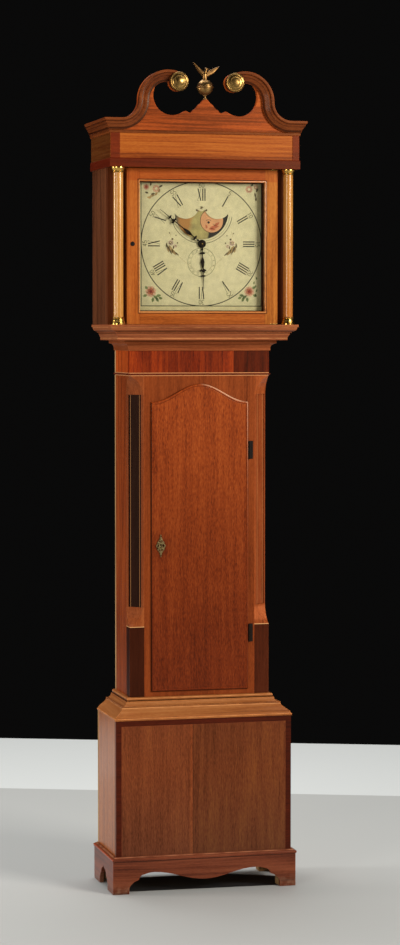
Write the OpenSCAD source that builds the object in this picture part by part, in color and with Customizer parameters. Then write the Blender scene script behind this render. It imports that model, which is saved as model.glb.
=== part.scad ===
// Longcase clock with a swan-neck hood, painted moon dial and 30-hour rope-driven movement.
// The origin is on the floor, under the centre of the whole clock. The front faces -Y.
// Sub-parts are drawn from the back of the case: y = 0 is the back, and the front is negative.

/* [Trunk] */
// Width of the trunk
trunk_w = 384.6; // [360:1:420]
// Depth of the trunk from back to front
trunk_d = 176.6; // [172:1:190]
// Height of the trunk between base and trunk frieze
trunk_h = 919.4; // [900:1:960]
// Thickness of the oak side boards
board_t = 16; // [14:0.5:20]
// Thickness of the trunk front frame
front_t = 18; // [16:0.5:20]
// Thickness of the backboard
back_t = 12; // [8:0.5:14]
// Side of the square corner posts
post_w = 40; // [36:1:44]
// Leg of the chamfer cut on each post
chamfer_leg = 36; // [24:1:36]
// Length of each curved chamfer stop
stop_len = 52; // [36:1:60]
// Height of the trunk frieze
trunk_frieze_h = 61; // [50:1:80]
// Height of the cove moulding under the hood
cove_h = 27.7; // [26:0.5:36]

/* [Trunk door] */
// Width of the frame stile between post and door
stile_w = 24.3; // [20:0.1:30]
// Height of the frame rail under the door
door_rail_h = 75; // [62:1:100]
// Height of the frame rail above the door
top_rail_h = 33.4; // [30:0.2:60]
// Rise of the shaped door top above its shoulders
door_rise = 48; // [30:1:60]
// Overlap of the door's moulded lip on the frame
lip_w = 6; // [4:0.5:8]
// Thickness of the lip in front of the frame
lip_t = 6; // [4:0.5:7]
// Length of each butt hinge
hinge_len = 48; // [36:1:60]
// Length of the brass escutcheon
escutcheon_h = 66; // [50:1:80]

/* [Base] */
// Projection of the base beyond the trunk
base_step = 49.2; // [40:0.2:60]
// Height of the base above the plinth
base_h = 363; // [320:1:420]
// Height of the moulding between base and trunk
base_mould_h = 56; // [50:1:66]
// Projection of the plinth beyond the base
plinth_step = 10.5; // [8:0.5:14]
// Height of the plinth with its bracket feet
plinth_h = 98.6; // [90:1:120]
// Height of the bead on top of the plinth
plinth_bead_h = 10; // [8:0.5:12]
// Width of each bracket foot at the floor
foot_w = 44; // [36:1:56]
// Width of the mahogany crossbanding on the base
band_w = 15; // [10:1:20]

/* [Hood] */
// Projection of the hood beyond the trunk
hood_step = 64.2; // [60:0.2:70]
// Height of the moulded hood base
hood_base_h = 41; // [36:1:50]
// Height between hood base and hood frieze
hood_gap_h = 413; // [405:1:430]
// Height of the hood frieze
hood_frieze_h = 88; // [70:1:100]
// Projection of the cornice and swan necks
cornice_out = 18; // [14:1:24]
// Height of the bead under the cornice
cornice_bead_h = 8; // [6:0.5:10]
// Width of the swan-neck moulding
neck_w = 30; // [26:1:34]
// Radius of the outer edge of each swan neck
neck_r = 79; // [72:1:84]
// Radius of each brass rosette
rosette_r = 25; // [20:1:28]
// Radius of the finial ball
ball_r = 21; // [18:1:24]
// Height of the eagle above the ball
eagle_h = 46; // [36:1:54]
// Radius of each column shaft
column_r = 13; // [10:0.5:14]
// Height of each brass capital and base
cap_h = 15; // [12:1:24]

/* [Hood door] */
// Width of the column bay beside the hood door
column_bay = 50.5; // [48:0.5:54]
// Thickness of the hood door
glaze_t = 19; // [17:0.5:21]
// Side of the square sight opening
sight = 343; // [330:1:346]
// Thickness of the glass
glass_t = 2; // [1.5:0.5:3]

/* [Dial and movement] */
// Side of the square painted dial
dial_w = 356; // [350:1:360]
// Sideways place of dial and movement in the case
dial_x = 4; // [0:1:6]
// Height of the hand centre above the hood base
dial_rise = 215; // [212:1:218]
// Distance from dial to front plate
dial_gap = 46.5; // [44:0.5:50]
// Distance between the movement plates
plate_gap = 58; // [56:1:62]
// Thickness of each movement plate
plate_t = 3; // [2.5:0.5:4]
// Half the spacing of the two great wheels
great_x = 47; // [46.5:0.5:48]
// Radius of the bell
bell_r = 46; // [40:1:48]
// Length of the pendulum from pivot to the middle of the bob
pendulum_len = 994; // [980:1:1000]
// Radius of the pendulum bob
bob_r = 58; // [45:1:64]
// Thickness of the pendulum bob
bob_t = 26; // [18:1:28]
// Length of the minute hand
minute_len = 147; // [130:1:155]
// Length of the hour hand
hour_len = 120; // [100:1:124]

/* [Drive] */
// Radius of the driving weight
weight_r = 32; // [26:1:33]
// Length of the driving weight
weight_h = 220; // [180:5:240]
// Radius of the rope
rope_r = 3; // [2.5:0.5:3.5]
// Radius at which the rope runs on sprockets and pulley
rope_run_r = 24; // [22:0.5:26]
// Travel of the driving weight
weight_travel = 1100; // [900:10:1100]

/* [Hidden] */
$fn = 48;

// Clearances
slip = 0.3;
run_fit = 0.05;
door_gap = 1;

// Widths and depths that follow from the trunk
base_w = trunk_w + 2 * base_step;
base_d = trunk_d + base_step;
plinth_w = base_w + 2 * plinth_step;
plinth_d = base_d + plinth_step;
hood_w = trunk_w + 2 * hood_step;
hood_d = trunk_d + hood_step;
glaze_w = hood_w - 2 * column_bay;
door_w = trunk_w - 2 * (post_w + stile_w);
door_side_h = trunk_h - door_rail_h - door_rise - top_rail_h;
rosette_t = 9;
hood_wall = 16;
front_reach = hood_d + cornice_out + rosette_t;

// Levels, from the floor up
tenon_h = 31;
base_foot = plinth_h - 36;
base_top = plinth_h + base_h;
trunk_foot = base_top - tenon_h;
trunk_top = base_top + trunk_h;
cove_foot = trunk_top + trunk_frieze_h;
hood_foot = cove_foot + cove_h + slip;
glaze_foot = hood_foot + hood_base_h;
frieze_foot = glaze_foot + hood_gap_h;
cornice_foot = frieze_foot + hood_frieze_h;
neck_foot = cornice_foot + cornice_bead_h;
hand_z = glaze_foot + dial_rise;
seat_t = 20;
seat_top = hand_z - 86;

// Depths of what stands behind the hood door
glaze_back = -(hood_d - 49);
glaze_front = glaze_back - glaze_t;
mask_y = glaze_back + door_gap;
mask_t = 5;
frame_t = 18;
dial_y = mask_y + mask_t + 4;
dial_t = 1.5;
front_plate_y = dial_y + dial_t + dial_gap;
back_plate_y = front_plate_y + plate_t + plate_gap;
drive_y = front_plate_y + plate_t + 29;
pendulum_y = back_plate_y + plate_t + 26;

// Draws in case depth: the back of the case is y = 0.
module in_case() translate([0, front_reach / 2, 0]) children();
module both_sides() { children(); mirror([1, 0, 0]) children(); }
module board(x, y, z) translate([x[0], y[0], z[0]]) cube([x[1] - x[0], y[1] - y[0], z[1] - z[0]]);
module along_x(x) translate([x[0], 0, 0]) rotate([90, 0, 90]) linear_extrude(x[1] - x[0]) children();
module along_y(y) translate([0, y[1], 0]) rotate([90, 0, 0]) linear_extrude(y[1] - y[0]) children();
module rod_y(x, z, y, r) translate([x, y[0], z]) rotate([-90, 0, 0]) cylinder(h = y[1] - y[0], r = r);
module rod_z(x, y, z, r) translate([x, y, z[0]]) cylinder(h = z[1] - z[0], r = r);

// Points on an arc, on a smooth S between two points, and a list turned round
function arc(c, r, a0, a1, n = 8) = [for (i = [0:n]) let (a = a0 + (a1 - a0) * i / n) c + r * [cos(a),
    sin(a)]];
function ogee(p, q, n = 8) = [for (i = [0:n]) [p.x + (q.x - p.x) * (1 - cos(180 * i / n)) / 2,
    p.y + (q.y - p.y) * i / n]];
function level_ogee(p, q, n = 8) = [for (i = [0:n]) [p.x + (q.x - p.x) * i / n,
    p.y + (q.y - p.y) * (1 - cos(180 * i / n)) / 2]];
function turned(list) = [for (i = [len(list) - 1:-1:0]) list[i]];

// A moulding round the front and both sides: outline lists [projection, height] from the bottom up.
module moulding(w, d, foot, outline, inner_w, inner_d) {
    last = len(outline) - 1;
    difference() {
        intersection() {
            along_x([-w, w]) polygon(concat([[0, foot + outline[0].y]],
                [for (p = outline) [-(d + p.x), foot + p.y]], [[0, foot + outline[last].y]]));
            along_y([-2 * d, 0]) polygon(concat([for (p = outline) [w / 2 + p.x, foot + p.y]],
                [for (p = turned(outline)) [-w / 2 - p.x, foot + p.y]]));
        }
        board([-inner_w / 2, inner_w / 2], [-inner_d, 1], [foot - 1, foot + outline[last].y + 1]);
    }
}

// Case

// Widened by ears that close the back of the hood and let it slide past
backboard_top = frieze_foot + 30;
ear_x = hood_w / 2 - hood_wall - door_gap;
function backboard_half() = [[base_w / 2, base_foot], [base_w / 2, base_top], [trunk_w / 2, base_top],
    [trunk_w / 2, glaze_foot + door_gap], [ear_x, glaze_foot + door_gap], [ear_x, backboard_top]];
module backboard() color("peru") in_case() along_y([-back_t, 0])
    polygon(concat(backboard_half(), [for (p = turned(backboard_half())) [-p.x, p.y]]));

side_front = trunk_d - post_w;
cheek_top = seat_top - seat_t;
module trunk_sides() color("sienna") in_case() both_sides()
    along_x([trunk_w / 2 - board_t, trunk_w / 2]) polygon([[-back_t, trunk_foot],
        [-side_front, trunk_foot], [-side_front, trunk_top], [-(trunk_d - front_t), trunk_top],
        [-(trunk_d - front_t), cove_foot + cove_h], [-side_front, cove_foot + cove_h],
        [-side_front, cheek_top], [-back_t, cheek_top]]);

// The outline of door and door opening, grown by a margin all round
door_foot = base_top + door_rail_h;
function door_outline(grow) = let (half = door_w / 2 + grow, shoulder = door_foot + door_side_h + grow)
    concat([[-half, door_foot - grow], [half, door_foot - grow]],
        [for (i = [0:24]) let (x = half * (1 - i / 12)) [x,
            shoulder + door_rise * (1 + cos(180 * x / half)) / 2]]);

module trunk_frame() color("sienna") in_case() difference() {
    board([-trunk_w / 2 + post_w, trunk_w / 2 - post_w], [-trunk_d, -trunk_d + front_t], [trunk_foot,
        trunk_top]);
    along_y([-trunk_d - 1, -trunk_d + front_t + 1]) polygon(door_outline(door_gap));
}

module trunk_frieze() color("brown") in_case()
    board([-trunk_w / 2, trunk_w / 2], [-trunk_d, -trunk_d + front_t], [trunk_top, cove_foot + cove_h]);

string_h = 4;
module trunk_mouldings() color("sienna") in_case() {
    moulding(trunk_w, trunk_d, cove_foot, concat([[0, 0], [3, 0], [3, 6]],
        arc([16, 6], 13, 180, 90), [[16.5, 19], [16.5, cove_h]]), trunk_w, trunk_d);
    moulding(trunk_w, trunk_d, trunk_top - string_h, concat([[0, 0], [1.5, 0]],
        arc([1.5, string_h / 2], string_h / 2 - 0.4, -80, 80, 6), [[1.5, string_h], [0, string_h]]),
        trunk_w, trunk_d);
}

// Height of the plain square block below each chamfered post
block_h = 243.4;
recess_deep = 2;
recess_half = 20;
module post_cut(low, high) {
    deep = chamfer_leg / sqrt(2);
    // The stop's arc starts on the post's corner edge and runs into the flat of the chamfer
    stop_r = (stop_len * stop_len + deep * deep) / (2 * deep);
    sweep = asin(stop_len / stop_r);
    translate([trunk_w / 2, -trunk_d, 0]) rotate([0, 0, 45]) along_x([-chamfer_leg, chamfer_leg])
        polygon(concat([[-1, low], [0, low]],
            arc([deep - stop_r, low + stop_len], stop_r, -sweep, 0, 6),
            arc([deep - stop_r, high - stop_len], stop_r, 0, sweep, 6), [[-1, high]]));
    translate([trunk_w / 2, -trunk_d, 0]) rotate([0, 0, 45])
        board([-recess_half, recess_half], [deep - 1, deep + recess_deep], [low + stop_len,
            high - stop_len]);
}
module corner_posts() color("saddlebrown") in_case() both_sides() {
    block_top = trunk_foot + tenon_h + block_h;
    difference() {
        board([trunk_w / 2 - post_w, trunk_w / 2], [-trunk_d, -side_front], [block_top, trunk_top]);
        post_cut(block_top, trunk_top - string_h);
    }
    board([trunk_w / 2 - post_w, trunk_w / 2], [-trunk_d, -side_front], [trunk_foot, block_top]);
}

module base_moulding() color("peru") in_case() moulding(trunk_w, trunk_d, base_top,
    concat([[base_step + 2, 0], [base_step + 2, 5], [base_step, 5]],
        ogee([base_step, 5], [base_step - 23, 31]), [[base_step - 23, 34]],
        arc([base_step - 26, 45], 11, 270, 180), [[base_step - 37, base_mould_h - 10], [4.4,
            base_mould_h - 10]],
        arc([4.4, base_mould_h - 5], 5, -80, 90), [[0, base_mould_h]]),
    trunk_w, trunk_d);

joint_x = -31;
veneer_t = 1.2;
module base_panel() color("sienna") in_case() difference() {
    board([-base_w / 2, base_w / 2], [-base_d, -base_d + board_t], [base_foot, base_top]);
    board([joint_x - 0.15, joint_x + 0.15], [-base_d - 1, -base_d + board_t + 1], [base_foot - 1,
        base_top + 1]);
    both_sides() board([base_w / 2 - band_w, base_w / 2 + 1], [-base_d - 1, -base_d + veneer_t],
        [plinth_h, base_top + 1]);
    board([-base_w, base_w], [-base_d - 1, -base_d + veneer_t], [base_top - band_w, base_top + 1]);
}

module base_sides() color("sienna") in_case() both_sides()
    board([base_w / 2 - board_t, base_w / 2], [-base_d + board_t, -back_t], [base_foot, base_top]);

module crossbanding() color("maroon") in_case() {
    both_sides() board([base_w / 2 - band_w, base_w / 2], [-base_d, -base_d + veneer_t], [plinth_h,
        base_top - band_w]);
    board([-base_w / 2, base_w / 2], [-base_d, -base_d + veneer_t], [base_top - band_w, base_top]);
}

// The serpentine apron between the front bracket feet, from the middle to the right-hand foot
apron_drop = 31;
arch_h = 56;
function apron_half() = let (foot_x = plinth_w / 2 - foot_w, arch_x = foot_x - 68)
    concat(level_ogee([0, apron_drop], [arch_x, arch_h]),
        [[arch_x + 14, arch_h - 1], [foot_x - 34, arch_h - 7], [foot_x - 27, arch_h - 14], [foot_x - 26,
            arch_h - 19],
         [foot_x - 14, arch_h - 24], [foot_x - 4, arch_h - 33], [foot_x, 16], [foot_x, -1]]);
side_foot = 70;
side_half_span = 48;
side_apron_half = [[0, -1], [0, 18], [-8, 28], [-18, 34], [-19, 40], [-26, 47], [-40, 51]];
module plinth() color("brown") in_case() {
    difference() {
        board([-plinth_w / 2, plinth_w / 2], [-plinth_d, 0], [0, plinth_h - plinth_bead_h]);
        board([-base_w / 2, base_w / 2], [-base_d, 1], [-1, plinth_h]);
        along_y([-plinth_d - 1, -base_d + 1]) polygon(concat(apron_half(),
            [for (p = turned(apron_half())) [-p.x, p.y]]));
        along_x([-plinth_w, plinth_w]) polygon(concat(
            [for (p = side_apron_half) p + [-side_foot, 0]], [[-side_foot - side_half_span, 55]],
            [for (p = turned(side_apron_half)) [-p.x - side_foot - 2 * side_half_span, p.y]]));
    }
    moulding(base_w, base_d, plinth_h - plinth_bead_h, concat([[0, 0], [plinth_step + 2, 0]],
        arc([plinth_step, 4], 2.8, -45, 90, 5), ogee([plinth_step - 1, 6.8], [2, plinth_bead_h], 4), [[0,
            plinth_bead_h]]),
        base_w, base_d);
}

block_w = 34;
bottom_t = 14;
module bottom_and_foot_blocks() color("burlywood") in_case() {
    board([-base_w / 2 + board_t, base_w / 2 - board_t], [-base_d + board_t, -back_t], [base_foot,
        base_foot + bottom_t]);
    both_sides() {
        board([base_w / 2 - block_w, base_w / 2], [-base_d, -base_d + block_w], [0, base_foot]);
        board([base_w / 2 - block_w, base_w / 2], [-block_w, 0], [0, base_foot]);
    }
}

// Seatboard, slotted for the rope falls, and the rails that keep the hood down as it slides
outer_fall_x = great_x + rope_run_r;
inner_fall_x = great_x - rope_run_r;
pulley_r = inner_fall_x;
seat_back = drive_y + 42;
seat_front = drive_y - 46;
fall_slot = [9, 10];
return_slot = [14, 18];
runner_w = 12;
runner_h = 12;
runner_gap = 0.6;
module seatboard_and_runners() color("burlywood") in_case() {
    difference() {
        board([-trunk_w / 2, trunk_w / 2], [seat_front, seat_back], [seat_top - seat_t, seat_top]);
        for (s = [-1, 1]) {
            board([dial_x + s * inner_fall_x - fall_slot.x, dial_x + s * inner_fall_x + fall_slot.x],
                [drive_y - fall_slot.y, drive_y + fall_slot.y], [seat_top - seat_t - 1, seat_top + 1]);
            board([dial_x + s * (outer_fall_x - 9) - return_slot.x,
                dial_x + s * (outer_fall_x - 9) + return_slot.x],
                [drive_y - return_slot.y, drive_y + fall_slot.y], [seat_top - seat_t - 1, seat_top + 1]);
        }
    }
    both_sides() board([trunk_w / 2, trunk_w / 2 + runner_w], [-side_front + 6, -back_t],
        [glaze_foot + runner_gap, glaze_foot + runner_h]);
}

// Butt hinges of the trunk door: the knuckle's axis lies in front of the frame, past the lip.
knuckle_r = 3.2;
hinge_pin_r = 1.3;
hinge_t = 1.6;
hinge_leaf_w = 10;
lip_edge = door_w / 2 + lip_w;
hinge_x = lip_edge + knuckle_r + 0.6;
hinge_y = -trunk_d - hinge_t - knuckle_r - 0.4;
low_hinge_rise = 122;
top_hinge_drop = 148;
hinge_feet = [door_foot + low_hinge_rise, door_foot + door_side_h - top_hinge_drop];
knuckle_h = hinge_len / 3;
module hinge_plates() color("dimgray") in_case() for (z = hinge_feet) {
    difference() {
        union() {
            board([hinge_x, hinge_x + hinge_leaf_w], [-trunk_d - hinge_t, -trunk_d], [z, z + hinge_len]);
            for (k = [0, 2]) {
                rod_z(hinge_x, hinge_y, [z + k * knuckle_h, z + (k + 1) * knuckle_h], knuckle_r);
                board([hinge_x, hinge_x + knuckle_r], [hinge_y, -trunk_d],
                    [z + k * knuckle_h, z + (k + 1) * knuckle_h]);
            }
        }
        rod_z(hinge_x, hinge_y, [z + knuckle_h, z + 2 * knuckle_h], knuckle_r + slip);
    }
    rod_z(hinge_x, hinge_y, [z, z + hinge_len], hinge_pin_r);
}

// Trunk door and what it carries

// The board stands 2 mm clear of its opening, so that the free edge swings past the stile.
door_back = -trunk_d + 14;
module trunk_door() color("sienna") in_case() {
    along_y([-trunk_d - slip, door_back]) polygon(door_outline(-door_gap));
    along_y([-trunk_d - lip_t, -trunk_d - slip]) polygon(door_outline(lip_w));
}

module hinge_leaves() color("dimgray") in_case() for (z = hinge_feet) difference() {
    union() {
        rod_z(hinge_x, hinge_y, [z + knuckle_h + 0.2, z + 2 * knuckle_h - 0.2], knuckle_r);
        board([lip_edge, hinge_x], [hinge_y - 0.8, hinge_y + 0.8], [z + knuckle_h + 0.2,
            z + 2 * knuckle_h - 0.2]);
    }
    rod_z(hinge_x, hinge_y, [z, z + hinge_len], hinge_pin_r + run_fit);
}

// The lock lies on the door's back. Its bolt, drawn back here, shoots to the left behind the stile.
lock_rise = 385;
lock_z = door_foot + lock_rise;
lock_x = -door_w / 2 + 21;
lock_left = -door_w / 2 + 2;
lock_w = 43;
lock_h = 48;
bolt_w = 24;
bolt_h = 16;
bolt_y = [-trunk_d + front_t + slip, -trunk_d + front_t + slip + 3];
lock_box_y = [door_back, bolt_y[1] + 1.7];
module escutcheon_outline() {
    for (s = [-1, 1]) {
        translate([lock_x, lock_z + s * escutcheon_h * 0.28]) scale([0.62,
            1]) circle(r = escutcheon_h * 0.22);
        translate([lock_x, lock_z + s * escutcheon_h * 0.45]) circle(r = escutcheon_h * 0.05);
    }
    translate([lock_x, lock_z]) scale([0.9, 1]) circle(r = escutcheon_h * 0.17);
}
module trunk_lock() color("gold") in_case() {
    // Pierced plate on the front
    difference() {
        along_y([-trunk_d - lip_t - 1.4, -trunk_d - lip_t]) difference() {
            escutcheon_outline();
            for (s = [-1, 1], t = [-1, 1]) translate([lock_x + t * 5,
                lock_z + s * escutcheon_h * 0.28]) circle(r = 2.2);
        }
        rod_y(lock_x, lock_z + 3, [-trunk_d - 20, -trunk_d], 2.6);
        board([lock_x - 1.3, lock_x + 1.3], [-trunk_d - 20, -trunk_d], [lock_z - 8, lock_z + 3]);
    }
    // Box on the back, open at the left for the bolt
    difference() {
        board([lock_left, lock_left + lock_w], lock_box_y, [lock_z - lock_h / 2, lock_z + lock_h / 2]);
        board([lock_left - 1, lock_left + bolt_w + slip], [bolt_y[0] - slip, bolt_y[1] + slip],
            [lock_z - bolt_h / 2 - slip, lock_z + bolt_h / 2 + slip]);
    }
}

module lock_bolt() color("dimgray") in_case()
    board([lock_left, lock_left + bolt_w], bolt_y, [lock_z - bolt_h / 2, lock_z + bolt_h / 2]);

// Hood

side_inset = 3;
roof_t = 12;
soffit_t = 10;
module hood_carcass() color("sienna") in_case() {
    // Side boards
    both_sides() board([hood_w / 2 - hood_wall, hood_w / 2 - side_inset], [mask_y + frame_t, 0],
        [glaze_foot, frieze_foot]);
    // Roof board, let in between the frieze boards
    board([-hood_w / 2 + hood_wall, hood_w / 2 - hood_wall], [-hood_d + hood_wall, 0],
        [cornice_foot - roof_t, cornice_foot]);
    // Soffit over the door and columns
    difference() {
        board([-hood_w / 2 + hood_wall, hood_w / 2 - hood_wall], [-hood_d + hood_wall, mask_y + frame_t],
            [frieze_foot, frieze_foot + soffit_t]);
        rod_z(pivot_x, pivot_y, [frieze_foot - 1, frieze_foot + soffit_t + 1], pivot_r + run_fit);
    }
}

module hood_frieze() color("chocolate") in_case() difference() {
    board([-hood_w / 2, hood_w / 2], [-hood_d, 0], [frieze_foot, cornice_foot]);
    board([-hood_w / 2 + hood_wall, hood_w / 2 - hood_wall], [-hood_d + hood_wall, 1], [frieze_foot - 1,
        cornice_foot + 1]);
}

frieze_band_h = 23;
band_proud = 2.5;
end_band_l = 25;
end_band_r = 18;
end_band_y = [-hood_d - 1, -hood_d];
end_band_z = [frieze_foot + frieze_band_h / 2, cornice_foot];
module frieze_banding() color("maroon") in_case() {
    moulding(hood_w, hood_d, frieze_foot, [[0, 0], [band_proud, 0], [band_proud, frieze_band_h - 2],
        [0.8, frieze_band_h], [0, frieze_band_h]],
        hood_w, hood_d);
    board([-hood_w / 2, -hood_w / 2 + end_band_l], end_band_y, end_band_z);
    board([hood_w / 2 - end_band_r, hood_w / 2], end_band_y, end_band_z);
}

// Swan necks: each is two arcs, a high one round crown and a low one that runs out level
neck_top = neck_foot + neck_w;
crown_inset = 152.5;
crown_rise = 78;
crown = [hood_w / 2 - crown_inset, neck_foot + crown_rise];
heel_r = 48;
heel = [crown.x + neck_r + heel_r, neck_foot + heel_r + neck_w];
crown_end = 108;
// The moulding's outline, [distance from its lower edge, projection]
neck_outline = concat([[0, 0], [0, 5], [3, 6]], level_ogee([3, 6], [neck_w - 7, cornice_out - 3]),
    [[neck_w - 7, cornice_out - 1], [neck_w - 5, cornice_out], [neck_w, cornice_out], [neck_w, 0]]);
module sweep_y(centre, a0, a1) translate([centre.x, -hood_d, centre.y]) rotate([90, 0, 0])
    rotate([0, 0, a0]) rotate_extrude(angle = a1 - a0, $fn = 96) children();
rosette_x = crown.x - 28;
rosette_z = crown.y + 49;
module swan_neck_cornice() color("sienna") in_case() {
    // Level cornice along both sides and round the front corners
    difference() {
        moulding(hood_w, hood_d, cornice_foot, concat([[0, 0], [2, 0], [3, 1.5], [3, cornice_bead_h - 2],
            [2, cornice_bead_h]],
            [for (i = [1:len(neck_outline) - 2]) [neck_outline[i].y, cornice_bead_h + neck_outline[i].x]]),
            hood_w - 2 * hood_wall, hood_d);
        board([-heel.x, heel.x], [-hood_d - cornice_out - 1, 1], [neck_foot, neck_top + 1]);
    }
    both_sides() {
        sweep_y(heel, 180, 270) polygon([for (p = turned(neck_outline)) [heel_r + neck_w - p.x, p.y]]);
        sweep_y(crown, 0, crown_end) polygon([for (p = neck_outline) [neck_r - neck_w + p.x, p.y]]);
        rod_y(rosette_x, rosette_z, [-hood_d - cornice_out, -hood_d], rosette_r - 1);
    }
}

// Pediment board with its two round openings and stepped middle
hole_r = 51;
hole = [crown.x - 13, crown.y + 13];
board_depth = 14;
module tympanum() color("sienna") in_case() {
    half = concat([[0, cornice_foot], [hood_w / 2 - hood_wall, cornice_foot], [hood_w / 2 - hood_wall,
        neck_top]],
        arc(heel, heel_r, 264, 180, 10), arc(crown, neck_r, 0, crown_end, 16),
        [for (p = [[-15, crown_rise + 13], [-29, 48], [-32, 50.5], [-37, 52], [-42, 50], [-46, 47.5],
            [-50, 47]])
            [hole.x + p.x, neck_foot + p.y]],
        [for (p = [[37, 49], [34, 54], [29, 57], [25, 60], [21, 66], [17, 70], [12, 73], [8, 79], [5, 82],
            [0, 83]])
            [p.x, neck_foot + p.y]]);
    along_y([-hood_d, -hood_d + board_depth]) difference() {
        union() {
            polygon(half);
            mirror([1, 0]) polygon(half);
        }
        for (s = [-1, 1]) translate([s * hole.x, hole.y]) circle(r = hole_r);
    }
    both_sides() rod_y(rosette_x, rosette_z, [-hood_d, -hood_d + board_depth], rosette_r - 1);
}

module rosettes() color("gold") in_case() both_sides()
    translate([rosette_x, -hood_d - cornice_out, rosette_z]) rotate([90, 0, 0]) rotate_extrude()
        polygon(concat([[0, 0], [rosette_r, 0], [rosette_r, 2], [rosette_r - 1.5, 3.5], [rosette_r - 3.5,
            2.5]],
            arc([rosette_r - 12, -3], 9, 40, 90, 4), arc([0, -19], rosette_t + 19, 70, 90, 5)));

finial_foot = neck_foot + 83;
ball_z = finial_foot + 11 + ball_r;
finial_y = -hood_d + board_depth / 2;
module finial() color("goldenrod") in_case() {
    translate([0, finial_y, finial_foot]) rotate_extrude() polygon(concat([[0, 0], [6, 0], [6, 2], [3,
        4], [2.5, 8], [5, 10]],
        arc([0, 11 + ball_r], ball_r, -75, -6, 6), [[ball_r + 2, 11 + ball_r - 1.5], [ball_r + 2,
            11 + ball_r + 1.5]],
        arc([0, 11 + ball_r], ball_r, 6, 80, 6), [[4, 11 + 2 * ball_r], [0, 11 + 2 * ball_r]]));
    // Eagle with raised wings, its head turned to the right
    translate([0, finial_y, ball_z + ball_r - 1]) {
        hull() {
            cylinder(h = 2, r = 6, $fn = 16);
            translate([-1, 0, 14]) sphere(r = 6.5, $fn = 16);
        }
        hull() {
            translate([-1, 0, 14]) sphere(r = 6, $fn = 16);
            translate([3, 0, 27]) sphere(r = 3.4, $fn = 16);
        }
        hull() {
            translate([3, 0, 28]) sphere(r = 3.8, $fn = 16);
            translate([10, 0, 29]) sphere(r = 1, $fn = 12);
        }
        eagle_wing([-31, eagle_h - 2]);
        eagle_wing([38, eagle_h - 11]);
    }
}
module eagle_wing(tip) hull() {
    translate([sign(tip.x) * 3, 0, 9]) sphere(r = 4, $fn = 16);
    translate([sign(tip.x) * 6, 0, 20]) sphere(r = 3, $fn = 16);
    translate([tip.x * 0.6, 0, tip.y * 0.55]) sphere(r = 2.4, $fn = 12);
    translate([tip.x, 0, tip.y]) sphere(r = 1, $fn = 12);
}

column_inset = 24.5;
column_x = hood_w / 2 - column_inset;
column_y = -hood_d + 19;
module columns() color("goldenrod") in_case() both_sides()
    rod_z(column_x, column_y, [glaze_foot + cap_h + 5, frieze_foot - cap_h], column_r);

// Turned brass capital, from the shaft up; the base is the same piece with a deeper plinth
module cap(tall) rotate_extrude() polygon(concat([[0, 0], [column_r + 1, 0]], arc([column_r + 1, 1.5],
    1.5, -90, 90, 4),
    level_ogee([column_r + 0.6, 3.5], [column_r + 5, tall - 3.5], 5), [[column_r + 5, tall], [0, tall]]));
module column_mounts() color("gold") in_case() both_sides() {
    translate([column_x, column_y, frieze_foot - cap_h]) cap(cap_h);
    translate([column_x, column_y, glaze_foot + cap_h + 5]) mirror([0, 0, 1]) cap(cap_h + 5);
}

module hood_base() color("chocolate") in_case() difference() {
    moulding(hood_w, hood_d, hood_foot, concat([[-24, 0], [-24, 6]], ogee([-24, 6], [-19, 17]), [[-19,
        20], [-15, 20], [-15, 23]],
        arc([-14, 34], 11, 270, 360), [[0, 35], [0, hood_base_h]]), trunk_w + 3, trunk_d + 2);
    rod_z(pivot_x, pivot_y, [glaze_foot - 8, glaze_foot + 1], pivot_r + run_fit);
}

// Frame behind the door, with a thin mask that fits round the dial
stile_x = dial_w / 2 + dial_x + 8;
module hood_front_frame() color("saddlebrown") in_case() difference() {
    board([-hood_w / 2 + side_inset, hood_w / 2 - side_inset], [mask_y, mask_y + frame_t], [glaze_foot,
        frieze_foot]);
    board([-stile_x, stile_x], [mask_y + mask_t, mask_y + frame_t + 1], [hand_z - dial_w / 2 - 8,
        hand_z + dial_w / 2 + 4]);
    board([-sight / 2 + 3, sight / 2 - 3], [mask_y - 1, mask_y + frame_t + 1], [sight_z - sight / 2 + 3,
        sight_z + sight / 2 - 3]);
}

// Hood door

sight_z = glaze_foot + hood_gap_h / 2;
glaze_h = hood_gap_h - 2 * door_gap;
rebate = 8;
rebate_t = 6;
module hood_door() color("chocolate") in_case() {
    difference() {
        board([-glaze_w / 2, glaze_w / 2], [glaze_front, glaze_back], [glaze_foot + door_gap,
            glaze_foot + door_gap + glaze_h]);
        board([-sight / 2, sight / 2], [glaze_front - 1, glaze_back + 1], [sight_z - sight / 2,
            sight_z + sight / 2]);
        board([-sight / 2 - rebate, sight / 2 + rebate], [glaze_back - rebate_t, glaze_back + 1],
            [sight_z - sight / 2 - rebate, sight_z + sight / 2 + rebate]);
        board([pivot_x - strap_reach, glaze_w / 2 + 1], [glaze_front - 1, glaze_back + 1],
            [glaze_foot, glaze_foot + door_gap + pivot_strap]);
        board([pivot_x - strap_reach, glaze_w / 2 + 1], [glaze_front - 1, glaze_back + 1],
            [frieze_foot - door_gap - pivot_strap, frieze_foot]);
    }
}

module hood_glass() color("lightblue", 0.3) in_case()
    board([-sight / 2 - rebate + 0.5, sight / 2 + rebate - 0.5], [glaze_back - rebate_t,
        glaze_back - rebate_t + glass_t],
        [sight_z - sight / 2 - rebate + 0.5, sight_z + sight / 2 + rebate - 0.5]);

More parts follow.
